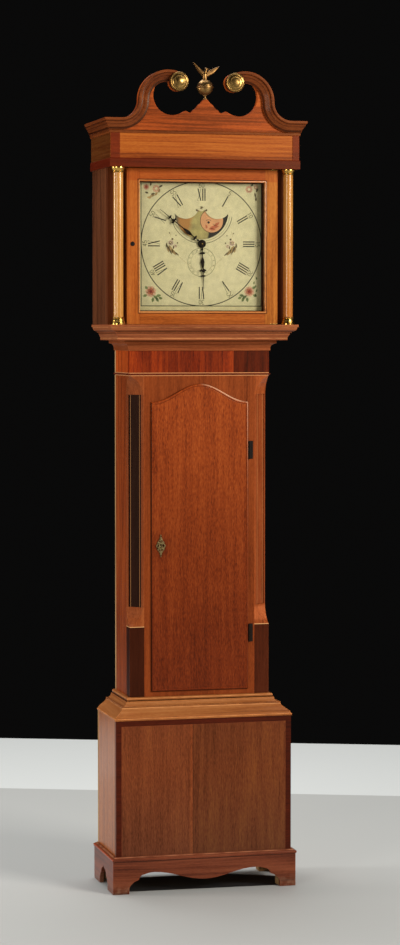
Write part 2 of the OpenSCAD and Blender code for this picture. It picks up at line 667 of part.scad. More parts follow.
pivot_x = glaze_w / 2 - 3;
pivot_y = glaze_back - 9;
pivot_r = 2;
pivot_strap = 2;
strap_reach = 18;
pivot_strap_feet = [glaze_foot + door_gap, frieze_foot - door_gap - pivot_strap];
module hood_door_pivots() color("gold") in_case() {
    for (z = pivot_strap_feet) board([pivot_x - strap_reach, glaze_w / 2], [glaze_front, glaze_back], [z,
        z + pivot_strap]);
    rod_z(pivot_x, pivot_y, [glaze_foot - 7, glaze_foot + door_gap + pivot_strap], pivot_r);
    rod_z(pivot_x, pivot_y, [frieze_foot - door_gap - pivot_strap, frieze_foot + 9], pivot_r);
}

// Movement. Arbors are placed from the hand centre by [across, up]; the front plate faces -Y.

module at_movement() in_case() translate([dial_x, 0, hand_z]) children();
plate_half = 62;
plate_low = -86;
plate_high = 92;

// Wheels and pinions, with wide backlash so that they run free at every angle
great_teeth = 96;
pinion_leaves = 8;
second_teeth = 80;
great_mod = 0.92;
second_mod = 0.75;
great = [great_x, -26];
escape_at = [0, 38];
// The second arbor stands where both its meshes have their true distance
great_mesh = great_mod * (great_teeth + pinion_leaves) / 2;
second_mesh = second_mod * (second_teeth + pinion_leaves) / 2;
function meet(p, q, a, b) = let (d = norm(q - p), swing = acos((a * a + d * d - b * b) / (2 * a * d)),
    dir = atan2(q.y - p.y, q.x - p.x) - swing) p + a * [cos(dir), sin(dir)];
second_at = meet(great, escape_at, great_mesh, second_mesh);
pendulum_at = [0, 72];
strike_at = [-great.x, great.y];
pin_at = [-second_at.x, second_at.y];
fly_dir = 130;
fly_mod = 0.7;
fly_mesh = fly_mod * (second_teeth + pinion_leaves) / 2;
fly_at = pin_at + fly_mesh * [cos(fly_dir), sin(fly_dir)];
hammer_at = [-56, 64];
date_at = [0, -49];
moon_at = [0, 86];

// One tooth as four points; roots and tips are shares of the pitch angle
function tooth(r_root, r_tip, pitch, a, root, tip) = [for (p = [[r_root, -root], [r_tip, -tip], [r_tip,
    tip], [r_root, root]])
    p.x * [cos(a + p.y * pitch / 2), sin(a + p.y * pitch / 2)]];
function gear(teeth, mod, a0) = let (r = teeth * mod / 2, pitch = 360 / teeth, leafy = teeth < 20)
    [for (i = [0:teeth - 1]) each tooth(r - (leafy ? 1.25 : 1.15) * mod, r + (leafy ? 0.55 : 0.75) * mod,
        pitch, a0 + i * pitch, leafy ? 0.42 : 0.5, leafy ? 0.16 : 0.2)];
module wheel(at, y, teeth, mod, a0, hub = 4) {
    r = teeth * mod / 2;
    translate([at.x, 0, at.y]) along_y(y) difference() {
        polygon(gear(teeth, mod, a0));
        difference() {
            circle(r = r - 3.4 * mod - 1);
            circle(r = hub + 3);
            for (k = [0:3]) rotate(k * 90 + 45) translate([0, -2]) square([r, 4]);
        }
    }
}
module pinion(at, y, teeth, mod, a0) translate([at.x, 0, at.y]) along_y(y) polygon(gear(teeth, mod, a0));
function heading(p, q) = atan2(q.y - p.y, q.x - p.x);
// Start angle that puts a gap of a pinion opposite a tooth of the wheel beside it
function leaf_start(p, q, teeth) = heading(p, q) + 180 / teeth;

pivot_y_span = [front_plate_y + 0.4, back_plate_y + plate_t - 0.4];
arbor_r = 1.8;
pivot_pin_r = 0.9;
module arbor(at) {
    rod_y(at.x, at.y, [front_plate_y + plate_t + 0.5, back_plate_y - 0.5], arbor_r);
    rod_y(at.x, at.y, pivot_y_span, pivot_pin_r);
}
great_y = [drive_y + 10, drive_y + 12.5];
second_y = [back_plate_y - 12, back_plate_y - 10];
escape_y = [front_plate_y + 16, front_plate_y + 17.5];
pin_y = [front_plate_y + 10, front_plate_y + 12];

pillar_x = [40, 45];
pillar_r = 4.5;
pillar_inset = 8;
pillar_z = [plate_low + pillar_inset, plate_high - pillar_inset];
cock_x = 22;
cock_half = 5;
bridge_half = 6;
false_half = 98;
false_foot_r = 3.5;
dial_foot_r = 3;
dial_feet = [[92, 70], [80, -80]];
strap_foot_x = 84;
strap_reach_x = 88;
strap_half_w = 6;
strap_t = 1.5;
cock_z = [pendulum_at.y - 5, pendulum_at.y + 12];
module movement_frame() color("gold") at_movement() {
    difference() {
        union() {
            for (y = [front_plate_y, back_plate_y])
                board([-plate_half, plate_half], [y, y + plate_t], [plate_low, plate_high]);
            for (s = [-1, 1], k = [0, 1]) rod_y(s * pillar_x[k], pillar_z[k],
                [front_plate_y + plate_t, back_plate_y], pillar_r);
            // Stud that carries the hands' pipes
            rod_y(0, 0, [stud_end, front_plate_y], stud_r);
            // Back cock: two arms, and a bridge with the suspension slot
            for (s = [-1, 1]) board([s * cock_x - cock_half, s * cock_x + cock_half],
                [back_plate_y + plate_t, pendulum_y + bridge_half], cock_z);
            board([-cock_x - cock_half, cock_x + cock_half], [pendulum_y - bridge_half,
                pendulum_y + bridge_half], cock_z);
        }
        for (p = [strike_at, second_at, pin_at, escape_at, fly_at, hammer_at])
            rod_y(p.x, p.y, [front_plate_y - 1, back_plate_y + plate_t + 1], pivot_pin_r + run_fit);
        rod_y(great.x, great.y, [front_plate_y - 1, front_plate_y + plate_t + 1], motion_arbor_r + run_fit);
        rod_y(great.x, great.y, [back_plate_y - 1, back_plate_y + plate_t + 1], pivot_pin_r + run_fit);
        rod_y(pendulum_at.x, pendulum_at.y, [front_plate_y - 1, front_plate_y + plate_t + 1],
            pivot_pin_r + run_fit);
        rod_y(pendulum_at.x, pendulum_at.y, [back_plate_y - 1, back_plate_y + plate_t + 1], 4);
        rod_y(pendulum_at.x, pendulum_at.y, [pendulum_y - 7, pendulum_y - 2.8], pivot_pin_r + run_fit);
        board([-suspension_w / 2 - suspension_play, suspension_w / 2 + suspension_play],
            [pendulum_y - 0.5, pendulum_y + 0.5],
            [cock_z[0] - 1, cock_z[1] + 1]);
    }
    // False plate, with feet to the front plate and on to the dial
    difference() {
        board([-false_half, false_half], false_y, [-92, 96]);
        board([-44, 44], [false_y[0] - 1, false_y[1] + 1], [-38, 76]);
        rod_y(date_at.x, date_at.y, [false_y[0] - 1, false_y[1] + 1], date_arbor_r + run_fit);
    }
    for (s = [-1, 1]) {
        for (z = pillar_z) rod_y(s * (plate_half - 5), z, [false_y[1], front_plate_y], false_foot_r);
        for (p = dial_feet) rod_y(s * p.x, p.y, [dial_y + dial_t, false_y[0]], dial_foot_r);
    }
    // Strap behind the dial that carries the moon disc, on two feet
    for (s = [-1, 1]) rod_y(moon_at.x + s * strap_foot_x, moon_at.y, [dial_y + dial_t, strap_y],
        dial_foot_r);
    difference() {
        board([-strap_reach_x, strap_reach_x], [strap_y, strap_y + strap_t], [moon_at.y - strap_half_w,
            moon_at.y + strap_half_w]);
        rod_y(moon_at.x, moon_at.y, [strap_y - 1, strap_y + 3], moon_arbor_r + run_fit);
    }
}

// The moon shows through a bowl-shaped opening under two round lobes.
aperture_r = 74;
lobe_r = 38;
lobe = [44, 104];
aperture_top = 89.5;
module moon_aperture() difference() {
    translate(moon_at) circle(r = aperture_r);
    for (s = [-1, 1]) translate([s * lobe.x, lobe.y]) circle(r = lobe_r);
    translate([-aperture_r - 1, aperture_top]) square([2 * aperture_r + 2, aperture_r]);
    translate([0, aperture_top + 9]) circle(r = 12);
}
module dial() color("wheat") at_movement() along_y([dial_y, dial_y + dial_t]) difference() {
    translate([-dial_w / 2, -dial_w / 2]) square(dial_w);
    moon_aperture();
    circle(r = hour_pipe_r + 1);
    translate(date_at) circle(r = date_arbor_r + run_fit);
}

bell_at = [-14, 124];
bell_y = drive_y - 6;
bell_h = 36;
bell_t = 2.5;
bell_post_x = -50;
bell_top = bell_at.y + bell_h + 7;
arm_foot = bell_at.y + bell_r + 4;
module bell() color("gold") at_movement() {
    difference() {
        translate([bell_at.x, bell_y, bell_at.y]) rotate_extrude() polygon(concat(
            [[bell_r, 0], [bell_r - 1, 5]], arc([0, 2], bell_r - 3, 8, 84, 8), [[0, bell_h + 7], [0,
                bell_h + 7 - bell_t]],
            turned(arc([0, 2], bell_r - 3 - bell_t, 6, 84, 8)), [[bell_r - bell_t - 1, 4],
                [bell_r - bell_t, 0]]));
        rod_z(bell_at.x, bell_y, [bell_at.y, arm_foot], 2);
    }
    // Steel stand: an upright on the back plate, an arm over the bell, and the screw with its collars
    board([bell_post_x - 6, bell_post_x + 6], [back_plate_y + plate_t, back_plate_y + plate_t + 3], [70,
        arm_foot + 4]);
    hull() {
        rod_z(bell_post_x, back_plate_y + plate_t - 2.9, [arm_foot, arm_foot + 4], 5.9);
        rod_z(bell_at.x, bell_y, [arm_foot, arm_foot + 4], 5);
    }
    rod_z(bell_at.x, bell_y, [bell_top - bell_t - 5, arm_foot + 1], 2);
    rod_z(bell_at.x, bell_y, [bell_top - 0.2, arm_foot + 1], 4);
    rod_z(bell_at.x, bell_y, [bell_top - bell_t - 4, bell_top - bell_t + 0.2], 4);
}

// Rope, hung over both drums: the inner falls carry the weight, the outer ones the counterweight.
// At the end of its travel the weight stands just above the bottom board; wound up, the counterweight does.
floor_gap = 52;
strap_len = 34;
counter_r = 19;
inside_foot = base_foot + bottom_t + floor_gap - hand_z;
pulley_z = inside_foot + weight_travel + weight_h + strap_len + pulley_r;
counter_z = inside_foot + 2 * counter_r + 10;
counter_y = drive_y - 44.7;
counter_x = 5;
module rope_turn(x, z, r, a0) translate([x, drive_y, z]) rotate([90, 0, 0]) rotate([0, 0, a0])
    rotate_extrude(angle = 180) translate([r, 0]) circle(r = rope_r, $fn = 16);
module rope_over_drums() color("tan") at_movement()
    for (s = [-1, 1]) rope_turn(s * great.x, great.y, rope_run_r, 0);
module rope_weight_falls() color("tan") at_movement()
    for (s = [-1, 1]) rod_z(s * inner_fall_x, drive_y, [pulley_z, great.y], rope_r);
module rope_under_pulley() color("tan") at_movement() rope_turn(0, pulley_z, pulley_r, 180);
module between(p, q, r) translate(p) rotate([0, acos((q.z - p.z) / norm(q - p)), atan2(q.y - p.y,
    q.x - p.x)])
    cylinder(h = norm(q - p), r = r, $fn = 16);
// The falls slant in to the counterweight's eye and turn round under it.
module rope_return_falls() color("tan") at_movement() {
    top_z = great.y - rope_r;
    turn = [for (a = [180:30:360]) [counter_x * cos(a), counter_y, counter_z + counter_x * sin(a)]];
    route = concat([[-outer_fall_x, drive_y, top_z]], turn, [[outer_fall_x, drive_y, top_z]]);
    for (i = [0:len(route) - 2]) hull() for (p = [route[i], route[i + 1]])
        translate(p) sphere(r = rope_r, $fn = 12);
}

// Going train

drum_half = 9;
drum_lip = 4;
module drum(at) translate([at.x, drive_y, at.y]) rotate([-90, 0, 0]) rotate_extrude() polygon([
    [0, -drum_half], [rope_run_r + drum_lip, -drum_half], [rope_run_r + drum_lip, 1.5 - drum_half],
    [rope_run_r - rope_r - slip, -2.5], [rope_run_r - rope_r - slip, 2.5],
    [rope_run_r + drum_lip, drum_half - 1.5], [rope_run_r + drum_lip, drum_half], [0, drum_half]]);
motion_arbor_r = 2.5;
module great_wheel() color("gold") at_movement() {
    arbor(great);
    rod_y(great.x, great.y, [motion_y[1] - 8.4, front_plate_y + plate_t + 0.5], motion_arbor_r);
    drum(great);
    wheel(great, great_y, great_teeth, great_mod, heading(great, second_at), 8);
}
module second_wheel() color("gold") at_movement() {
    arbor(second_at);
    pinion(second_at, [great_y[0] - 1.5, great_y[1] + 1.5], pinion_leaves, great_mod,
        leaf_start(second_at, great, pinion_leaves));
    wheel(second_at, second_y, second_teeth, second_mod, heading(second_at, escape_at));
}
escape_r = 24;
escape_teeth = 30;
module escape_wheel() color("gold") at_movement() {
    arbor(escape_at);
    pinion(escape_at, [second_y[0] - 1.5, second_y[1] + 1.5], pinion_leaves, second_mod,
        leaf_start(escape_at, second_at, pinion_leaves));
    translate([escape_at.x, 0, escape_at.y]) along_y(escape_y) difference() {
        polygon([for (i = [0:escape_teeth - 1]) let (a = i * 360 / escape_teeth)
            each [(escape_r - 5) * [cos(a), sin(a)], (escape_r - 5) * [cos(a + 6), sin(a + 6)],
                  escape_r * [cos(a + 10), sin(a + 10)], escape_r * [cos(a + 10.8), sin(a + 10.8)]]]);
        difference() {
            circle(r = escape_r - 8);
            circle(r = 6);
            for (k = [0:3]) rotate(k * 90) translate([0, -1.5]) square([escape_r, 3]);
        }
    }
}

// The anchor's pallets stop just short of the wheel's teeth, so that both can turn freely.
crutch_y = back_plate_y + plate_t + 6;
fork_z = -26;
rod_r = 2.5;
module anchor() color("lightsteelblue") at_movement() {
    rod_y(pendulum_at.x, pendulum_at.y, [front_plate_y + plate_t + 0.5, crutch_y + 3], arbor_r);
    rod_y(pendulum_at.x, pendulum_at.y, [front_plate_y + 0.4, pendulum_y - 3], pivot_pin_r);
    arm = [[0, 5], [12, 0], [21, -8], [23, -14], [19.2, -16.7], [16.5, -12], [8, -6.5], [0, -5]];
    translate([pendulum_at.x, 0, pendulum_at.y]) along_y([escape_y[0] - 1.5, escape_y[1] + 1.5]) {
        polygon(arm);
        mirror([1, 0]) polygon(arm);
    }
    board([-2, 2], [crutch_y, crutch_y + 3], [fork_z - 4, pendulum_at.y + 3]);
    board([-7, 7], [crutch_y, crutch_y + 3], [fork_z - 4, fork_z]);
    for (s = [-1, 1]) board([s * (rod_r + 2.4) - 1.8, s * (rod_r + 2.4) + 1.8], [crutch_y + 3,
        pendulum_y + 6], [fork_z - 4, fork_z]);
}

// Pendulum: a strip spring in the back cock, a steel rod, a lens-shaped bob and its rating nut
suspension_w = 12;
suspension_play = 0.9;
spring_z = [pendulum_at.y - 8, pendulum_at.y + 13];
spring_block_h = 8;
thread_len = 26;
bob_z = pendulum_at.y - pendulum_len;
module pendulum_rod() color("lightsteelblue") at_movement() {
    board([-suspension_w / 2, suspension_w / 2], [pendulum_y - 0.3, pendulum_y + 0.3],
        spring_z);
    board([-suspension_w / 2 - 1, suspension_w / 2 + 1], [pendulum_y - 3, pendulum_y + 3],
        [pendulum_at.y + 12.6, pendulum_at.y + 17]);
    board([-suspension_w / 2 - 1, suspension_w / 2 + 1], [pendulum_y - 3, pendulum_y + 3],
        [spring_z[0] - spring_block_h, spring_z[0]]);
    rod_z(0, pendulum_y, [bob_z - bob_r - thread_len, spring_z[0] - spring_block_h], rod_r);
}
module pendulum_bob() color("gold") at_movement() difference() {
    translate([0, pendulum_y, bob_z]) rotate([90, 0, 0]) rotate_extrude() polygon(concat(
        level_ogee([bob_r, 1.5], [0, bob_t / 2], 8), level_ogee([0, -bob_t / 2], [bob_r, -1.5], 8)));
    rod_z(0, pendulum_y, [bob_z - bob_r - 2, bob_z + bob_r + 2], rod_r + run_fit);
}
nut_h = 8;
module rating_nut() color("gold") at_movement() difference() {
    rod_z(0, pendulum_y, [bob_z - bob_r - nut_h - slip, bob_z - bob_r - slip], 9);
    rod_z(0, pendulum_y, [bob_z - bob_r - nut_h - 1, bob_z - bob_r + 1], rod_r + run_fit);
}

// Motion work and hands

stud_r = 1.5;
cannon_r = 3;
hour_pipe_r = 5;
date_arbor_r = 1.5;
moon_arbor_r = 2;
cannon_teeth = 30;
motion_teeth = 60;
report_leaves = 12;
hour_teeth = 72;
motion_mod = 2 * norm(great) / (cannon_teeth + motion_teeth);
report_mod = 2 * norm(great) / (report_leaves + hour_teeth);
motion_y = [front_plate_y - 12, front_plate_y - 10];
report_y = [front_plate_y - 18, front_plate_y - 16];
false_y = [front_plate_y - 29, front_plate_y - 26.5];
strap_y = dial_y + dial_t + 7;
disc_y = [dial_y + dial_t + 1, dial_y + dial_t + 2.2];
stud_end = dial_y - 10;
hour_hand_y = [dial_y - 5, dial_y - 3.8];
minute_hand_y = [dial_y - 8.5, dial_y - 7.3];

module motion_wheel() color("gold") at_movement() difference() {
    union() {
        wheel(great, motion_y, motion_teeth, motion_mod, heading(great, [0, 0]), 8);
        rod_y(great.x, great.y, [report_y[0] - 1, motion_y[1] + 1], 5);
        pinion(great, [report_y[0] - 1, report_y[1] + 1], report_leaves, report_mod, leaf_start(great,
            [0, 0], report_leaves));
    }
    rod_y(great.x, great.y, [report_y[0] - 2, motion_y[1] + 2], motion_arbor_r + run_fit);
}
module cannon_wheel() color("gold") at_movement() difference() {
    union() {
        pinion([0, 0], motion_y, cannon_teeth, motion_mod, leaf_start([0, 0], great, cannon_teeth));
        rod_y(0, 0, [minute_hand_y[0], motion_y[1] + 4], cannon_r);
    }
    rod_y(0, 0, [minute_hand_y[0] - 1, motion_y[1] + 5], stud_r + run_fit);
}
module hour_wheel() color("gold") at_movement() difference() {
    union() {
        wheel([0, 0], report_y, hour_teeth, report_mod, heading([0, 0], great), 8);
        rod_y(0, 0, [hour_hand_y[0], report_y[1] + 1], hour_pipe_r);
        // Finger that moves the moon disc and the date wheel on
        board([-1, 1], disc_y, [hour_pipe_r - 0.5, hour_pipe_r + 3.5]);
    }
    rod_y(0, 0, [hour_hand_y[0] - 1, report_y[1] + 2], cannon_r + run_fit);
}

// Matching blued-steel hands, drawn pointing up: half outline of [half width, distance]
function both_edges(half) = concat(half, [for (p = turned(half)) [-p.x, p.y]]);
hand_head = [[1.3, 0], [1.3, 12], [3, 15], [1.2, 18], [1.2, 22], [6, 23], [8, 25], [6, 27], [1.2, 28],
    [1.2, 36],
    [3, 40], [5.2, 49], [3, 60], [1.2, 66]];
hand_barb = [[1.2, 0], [5, -2], [9, 2], [8, 5], [5, 3], [1.2, 8], [1, 14], [6, 15], [7, 16.5], [6, 18],
    [1, 19]];
module hand(span, reach, boss, bore, turn) rotate([0, turn, 0]) along_y(span) difference() {
    union() {
        circle(r = boss);
        polygon(both_edges(concat(hand_head, [for (p = hand_barb) [p.x, p.y + reach - 51]], [[0.4,
            reach]])));
    }
    circle(r = bore);
}
hour_angle = 177.5;
minute_angle = 308;
date_angle = 163;
module hour_hand() color("midnightblue") at_movement()
    hand(hour_hand_y, hour_len, 11, hour_pipe_r, hour_angle);
module minute_hand() color("midnightblue") at_movement() {
    hand(minute_hand_y, minute_len, 9, cannon_r, minute_angle);
    difference() {
        rod_y(0, 0, [minute_hand_y[0] - 1.6, minute_hand_y[0] + 0.2], 4.5);
        rod_y(0, 0, [minute_hand_y[0], minute_hand_y[0] + 1], cannon_r);
        rod_y(0, 0, [minute_hand_y[0] - 2, minute_hand_y[0] + 1], stud_r + run_fit);
    }
}
date_teeth = 62;
date_wheel_r = 38;
date_len = 30;
module date_hand() color("dimgray") at_movement() {
    translate([date_at.x, 0, date_at.y]) {
        along_y(disc_y) difference() {
            polygon([for (i = [0:date_teeth - 1]) each [
                (date_wheel_r - 3) * [cos(i * 360 / date_teeth), sin(i * 360 / date_teeth)],
                date_wheel_r * [cos((i + 0.5) * 360 / date_teeth), sin((i + 0.5) * 360 / date_teeth)]]]);
            for (k = [0:3]) rotate(k * 90) translate([date_wheel_r / 2, 0]) circle(r = 9);
        }
        rotate([0, date_angle, 0]) along_y([dial_y - 1.8, dial_y - 0.8]) {
            circle(r = 3.5);
            polygon([[-1, -6], [1, -6], [0.9, date_len - 10], [2.4, date_len - 7], [0.3, date_len],
                [-0.3, date_len],
                [-2.4, date_len - 7], [-0.9, date_len - 10]]);
        }
    }
    rod_y(date_at.x, date_at.y, [dial_y - 1.8, false_y[1]], date_arbor_r);
}
moon_teeth = 118;
moon_r = 76;
module moon_disc() color("darkolivegreen") at_movement() {
    translate([moon_at.x, 0, moon_at.y]) along_y(disc_y) polygon([for (i = [0:moon_teeth - 1]) each [
        (moon_r - 2) * [cos(i * 360 / moon_teeth), sin(i * 360 / moon_teeth)],
        moon_r * [cos((i + 0.6) * 360 / moon_teeth), sin((i + 0.6) * 360 / moon_teeth)]]]);
    rod_y(moon_at.x, moon_at.y, [disc_y[1], strap_y + 3], moon_arbor_r);
    rod_y(moon_at.x, moon_at.y, [disc_y[1], strap_y - 0.3], 5);
}

// Strike train

count_r = 30;
module strike_great_wheel() color("gold") at_movement() {
    arbor(strike_at);
    drum(strike_at);
    wheel(strike_at, great_y, great_teeth, great_mod, heading(strike_at, pin_at), 8);
    // Count wheel behind the back plate, its rim notched between the hours
    rod_y(strike_at.x, strike_at.y, [back_plate_y, back_plate_y + plate_t + 4], pivot_pin_r);
    translate([strike_at.x, 0, strike_at.y]) along_y([back_plate_y + plate_t + 2,
        back_plate_y + plate_t + 3.5]) difference() {
        circle(r = count_r);
        // After n strokes a notch: the sums of 1 to n, spread over 78 strokes
        for (n = [1:12]) rotate(n * (n + 1) / 2 * 360 / 78) translate([count_r - 4, -1]) square([6, 2]);
        for (k = [0:3]) rotate(k * 90 + 45) translate([count_r * 0.5, 0]) circle(r = 7);
    }
}
pin_circle = fly_mod * second_teeth / 2 - 2.1;
tail_len = norm(hammer_at - pin_at) - pin_circle - 2;
module pin_wheel() color("gold") at_movement() {
    arbor(pin_at);
    pinion(pin_at, [great_y[0] - 1.5, great_y[1] + 1.5], pinion_leaves, great_mod, leaf_start(pin_at,
        strike_at, pinion_leaves));
    wheel(pin_at, pin_y, second_teeth, fly_mod, fly_dir);
    for (k = [0:7]) rod_y(pin_at.x + pin_circle * cos(k * 45), pin_at.y + pin_circle * sin(k * 45),
        [pin_y[0] - 5.5, pin_y[0]], 1);
}
fly_half = 17;
module fly() color("gold") at_movement() {
    arbor(fly_at);
    pinion(fly_at, [pin_y[0] - 1.5, pin_y[1] + 1.5], pinion_leaves, fly_mod, leaf_start(fly_at, pin_at,
        pinion_leaves));
    translate([fly_at.x, 0, fly_at.y]) rotate([0, 20, 0]) board([-fly_half, fly_half], [drive_y - 14,
        drive_y + 5], [-0.5, 0.5]);
}

// Hammer: head beside the bell's lip, tail just clear of the pins
head_x = bell_at.x - bell_r - 1.5;
module hammer() color("lightsteelblue") at_movement() {
    arbor(hammer_at);
    between([hammer_at.x, bell_y, hammer_at.y], [head_x - 7, bell_y, bell_at.y - 2], 1.6);
    translate([head_x, bell_y, bell_at.y + 3]) rotate([0, -90, 0]) cylinder(h = 14, r = 6);
    tail = heading(hammer_at, pin_at);
    translate([hammer_at.x, 0, hammer_at.y]) rotate([0, -tail, 0]) board([0, tail_len], [pin_y[0] - 5,
        pin_y[0] - 2.5], [-1.5, 1.5]);
}

// Weight, pulley and counterweight

weight_top = pulley_z - pulley_r - strap_len;
strap_half = 7.2;
module drive_weight() color("dimgray") at_movement() {
    translate([0, drive_y, weight_top - weight_h]) rotate_extrude() polygon([[0, 0], [weight_r - 3, 0],
        [weight_r, 3],
        [weight_r, weight_h - 6], [weight_r - 6, weight_h], [0, weight_h]]);
    rod_z(0, drive_y, [weight_top, weight_top + 8], 4);
    // Iron strap round the pulley, with its pin
    board([-6, 6], [drive_y - strap_half - 2, drive_y + strap_half + 2], [weight_top + 6, weight_top + 9]);
    for (s = [-1, 1]) board([-6, 6], [drive_y + s * (strap_half + 1) - 1,
        drive_y + s * (strap_half + 1) + 1], [weight_top + 6, pulley_z + 7]);
    rod_y(0, pulley_z, [drive_y - strap_half - 1, drive_y + strap_half + 1], 2.5);
}
module weight_pulley() color("burlywood") at_movement() difference() {
    translate([0, drive_y, pulley_z]) rotate([-90, 0, 0]) rotate_extrude() polygon([[0, -6.5],
        [pulley_r + 3, -6.5],
        [pulley_r + 3, -5.5], [pulley_r - rope_r - slip, -2.5], [pulley_r - rope_r - slip, 2.5],
        [pulley_r + 3, 5.5], [pulley_r + 3, 6.5], [0, 6.5]]);
    rod_y(0, pulley_z, [drive_y - 8, drive_y + 8], 2.5 + run_fit);
}
eye_r = rope_r + 1.9;
module counterweight() color("dimgray") at_movement() {
    low = counter_z - counter_x;
    translate([0, counter_y, low]) rotate([0, 90, 0]) rotate_extrude() translate([eye_r,
        0]) circle(r = 1.2, $fn = 16);
    rod_y(0, low - eye_r - counter_r - 0.5, [counter_y - 6, counter_y + 6], counter_r);
}

backboard();
trunk_sides();
trunk_frame();
trunk_frieze();
trunk_mouldings();
corner_posts();
base_moulding();
base_panel();
base_sides();
crossbanding();
plinth();
bottom_and_foot_blocks();
seatboard_and_runners();
hinge_plates();
movement_frame();
dial();
bell();
rope_over_drums();
rope_weight_falls();
rope_return_falls();
trunk_door();
hinge_leaves();
trunk_lock();
lock_bolt();
hood_carcass();
hood_frieze();
frieze_banding();
swan_neck_cornice();
tympanum();
rosettes();
finial();
columns();
column_mounts();
hood_base();
hood_front_frame();
hood_door();
hood_glass();
hood_door_pivots();
great_wheel();
second_wheel();
escape_wheel();
anchor();
pendulum_rod();
pendulum_bob();
rating_nut();
minute_hand();
cannon_wheel();
motion_wheel();
hour_hand();
hour_wheel();
date_hand();
moon_disc();
strike_great_wheel();
pin_wheel();
fly();
hammer();
drive_weight();
rope_under_pulley();
weight_pulley();
counterweight();
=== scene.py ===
import math

import bmesh
import bpy
from mathutils import Matrix, Vector


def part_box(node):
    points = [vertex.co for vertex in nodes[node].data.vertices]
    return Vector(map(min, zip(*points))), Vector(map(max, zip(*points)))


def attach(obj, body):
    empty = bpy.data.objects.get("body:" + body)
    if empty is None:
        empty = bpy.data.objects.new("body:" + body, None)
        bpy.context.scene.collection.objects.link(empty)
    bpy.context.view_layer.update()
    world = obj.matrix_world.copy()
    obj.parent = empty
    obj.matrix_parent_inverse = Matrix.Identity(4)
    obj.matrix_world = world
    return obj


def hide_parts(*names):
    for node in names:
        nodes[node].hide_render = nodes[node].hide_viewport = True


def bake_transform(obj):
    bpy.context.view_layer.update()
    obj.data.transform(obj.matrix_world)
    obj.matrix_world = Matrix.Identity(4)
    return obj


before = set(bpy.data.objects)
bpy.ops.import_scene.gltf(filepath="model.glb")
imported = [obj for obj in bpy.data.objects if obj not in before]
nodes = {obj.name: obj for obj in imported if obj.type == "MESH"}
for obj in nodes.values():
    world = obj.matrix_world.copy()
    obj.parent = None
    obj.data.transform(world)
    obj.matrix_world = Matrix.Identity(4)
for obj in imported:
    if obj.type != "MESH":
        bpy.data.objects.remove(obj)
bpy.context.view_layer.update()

# Photographer's room: a grey studio floor that ends in a strip of white paper, in front of black cloth.
# The camera stands 7 m off, to the clock's left, at eye height; soft lamps hang in front of the clock.
camera = bpy.data.objects.new("camera", bpy.data.cameras.new("camera"))
bpy.context.scene.collection.objects.link(camera)
camera.data.lens = 100.13
camera.data.sensor_width = 36
camera.location = (-1.7532, -6.8434, 1.4935)
camera.rotation_euler = (math.radians(90 - 3.075), 0, math.radians(-14.465))
bpy.context.scene.camera = camera
bpy.context.scene.view_settings.view_transform = "Standard"


def studio_sheet(name, corners, colour, z=-0.0006):
    sheet = bpy.data.meshes.new(name)
    sheet.from_pydata([(x, y, z) for x, y in corners], [], [range(len(corners))])
    finish = bpy.data.materials.new(name)
    finish.use_nodes = True
    shader = finish.node_tree.nodes["Principled BSDF"]
    shader.inputs["Base Color"].default_value = colour
    shader.inputs["Roughness"].default_value = 0.62
    sheet.materials.append(finish)
    piece = bpy.data.objects.new(name, sheet)
    bpy.context.scene.collection.objects.link(piece)


REACH = 14
near_edge, near_run = Vector((-0.249, 1.589)), Vector((0.9342, -0.3567)) * REACH
far_edge, far_run = Vector((-0.061, 2.635)), Vector((1.371, -0.523)).normalized() * REACH
studio_sheet("floor", [near_edge - near_run, (-REACH, -REACH), (REACH, -REACH), near_edge + near_run],
             (0.42, 0.43, 0.42, 1))
# A near-black sheet under the case, where the case's shadow falls: painted shade.
studio_sheet("shade_sheet_under_clock", [(-0.2, -0.07), (0.215, -0.085), (0.235, 0.03), (0.1, 0.1), (-0.2, 0.1)],
             (0.012, 0.012, 0.013, 1), -0.0003)
paper = [near_edge - near_run, near_edge + near_run, far_edge + far_run, far_edge - far_run]
studio_sheet("paper_strip", paper, (0.60, 0.625, 0.62, 1))


def softbox(name, place, target, width, height, power, tint=(1, 1, 1)):
    lamp = bpy.data.lights.new(name, "AREA")
    lamp.shape = "RECTANGLE"
    lamp.size, lamp.size_y = width, height
    lamp.energy = power
    lamp.color = tint
    piece = bpy.data.objects.new(name, lamp)
    piece.location = place
    piece.rotation_euler = (Vector(target) - Vector(place)).to_track_quat("-Z", "Y").to_euler()
    bpy.context.scene.collection.objects.link(piece)


softbox("key_lamp", (2.8, -3.9, 2.9), (0, 0, 1.2), 1.8, 1.6, 240, (1, 0.95, 0.88))
softbox("left_lamp", (-3.6, -3.6, 1.7), (0, 0, 0.9), 1.2, 2.2, 62, (1, 0.97, 0.92))
softbox("side_lamp", (-4.3, 1.0, 1.7), (0, 0, 1.1), 1.0, 2.2, 80, (1, 0.97, 0.92))
softbox("top_lamp", (-0.2, 1.2, 4.2), (0, 1.2, 0.0), 2.2, 2.2, 110)

room = bpy.data.worlds.new("room")
bpy.context.scene.world = room
room.use_nodes = True
sky = room.node_tree.nodes["Background"]
sky.inputs["Color"].default_value = (1, 0.98, 0.96, 1)
path = room.node_tree.nodes.new("ShaderNodeLightPath")
glow = sky.inputs["Strength"]
for kind, strength in (("Is Camera Ray", 0.003), ("Is Diffuse Ray", 0.38)):
    add = room.node_tree.nodes.new("ShaderNodeMath")
    add.operation = "MULTIPLY_ADD"
    add.inputs[1].default_value = strength
    add.inputs[2].default_value = 0
    room.node_tree.links.new(path.outputs[kind], add.inputs[0])
    room.node_tree.links.new(add.outputs[0], glow)
    glow = add.inputs[2]


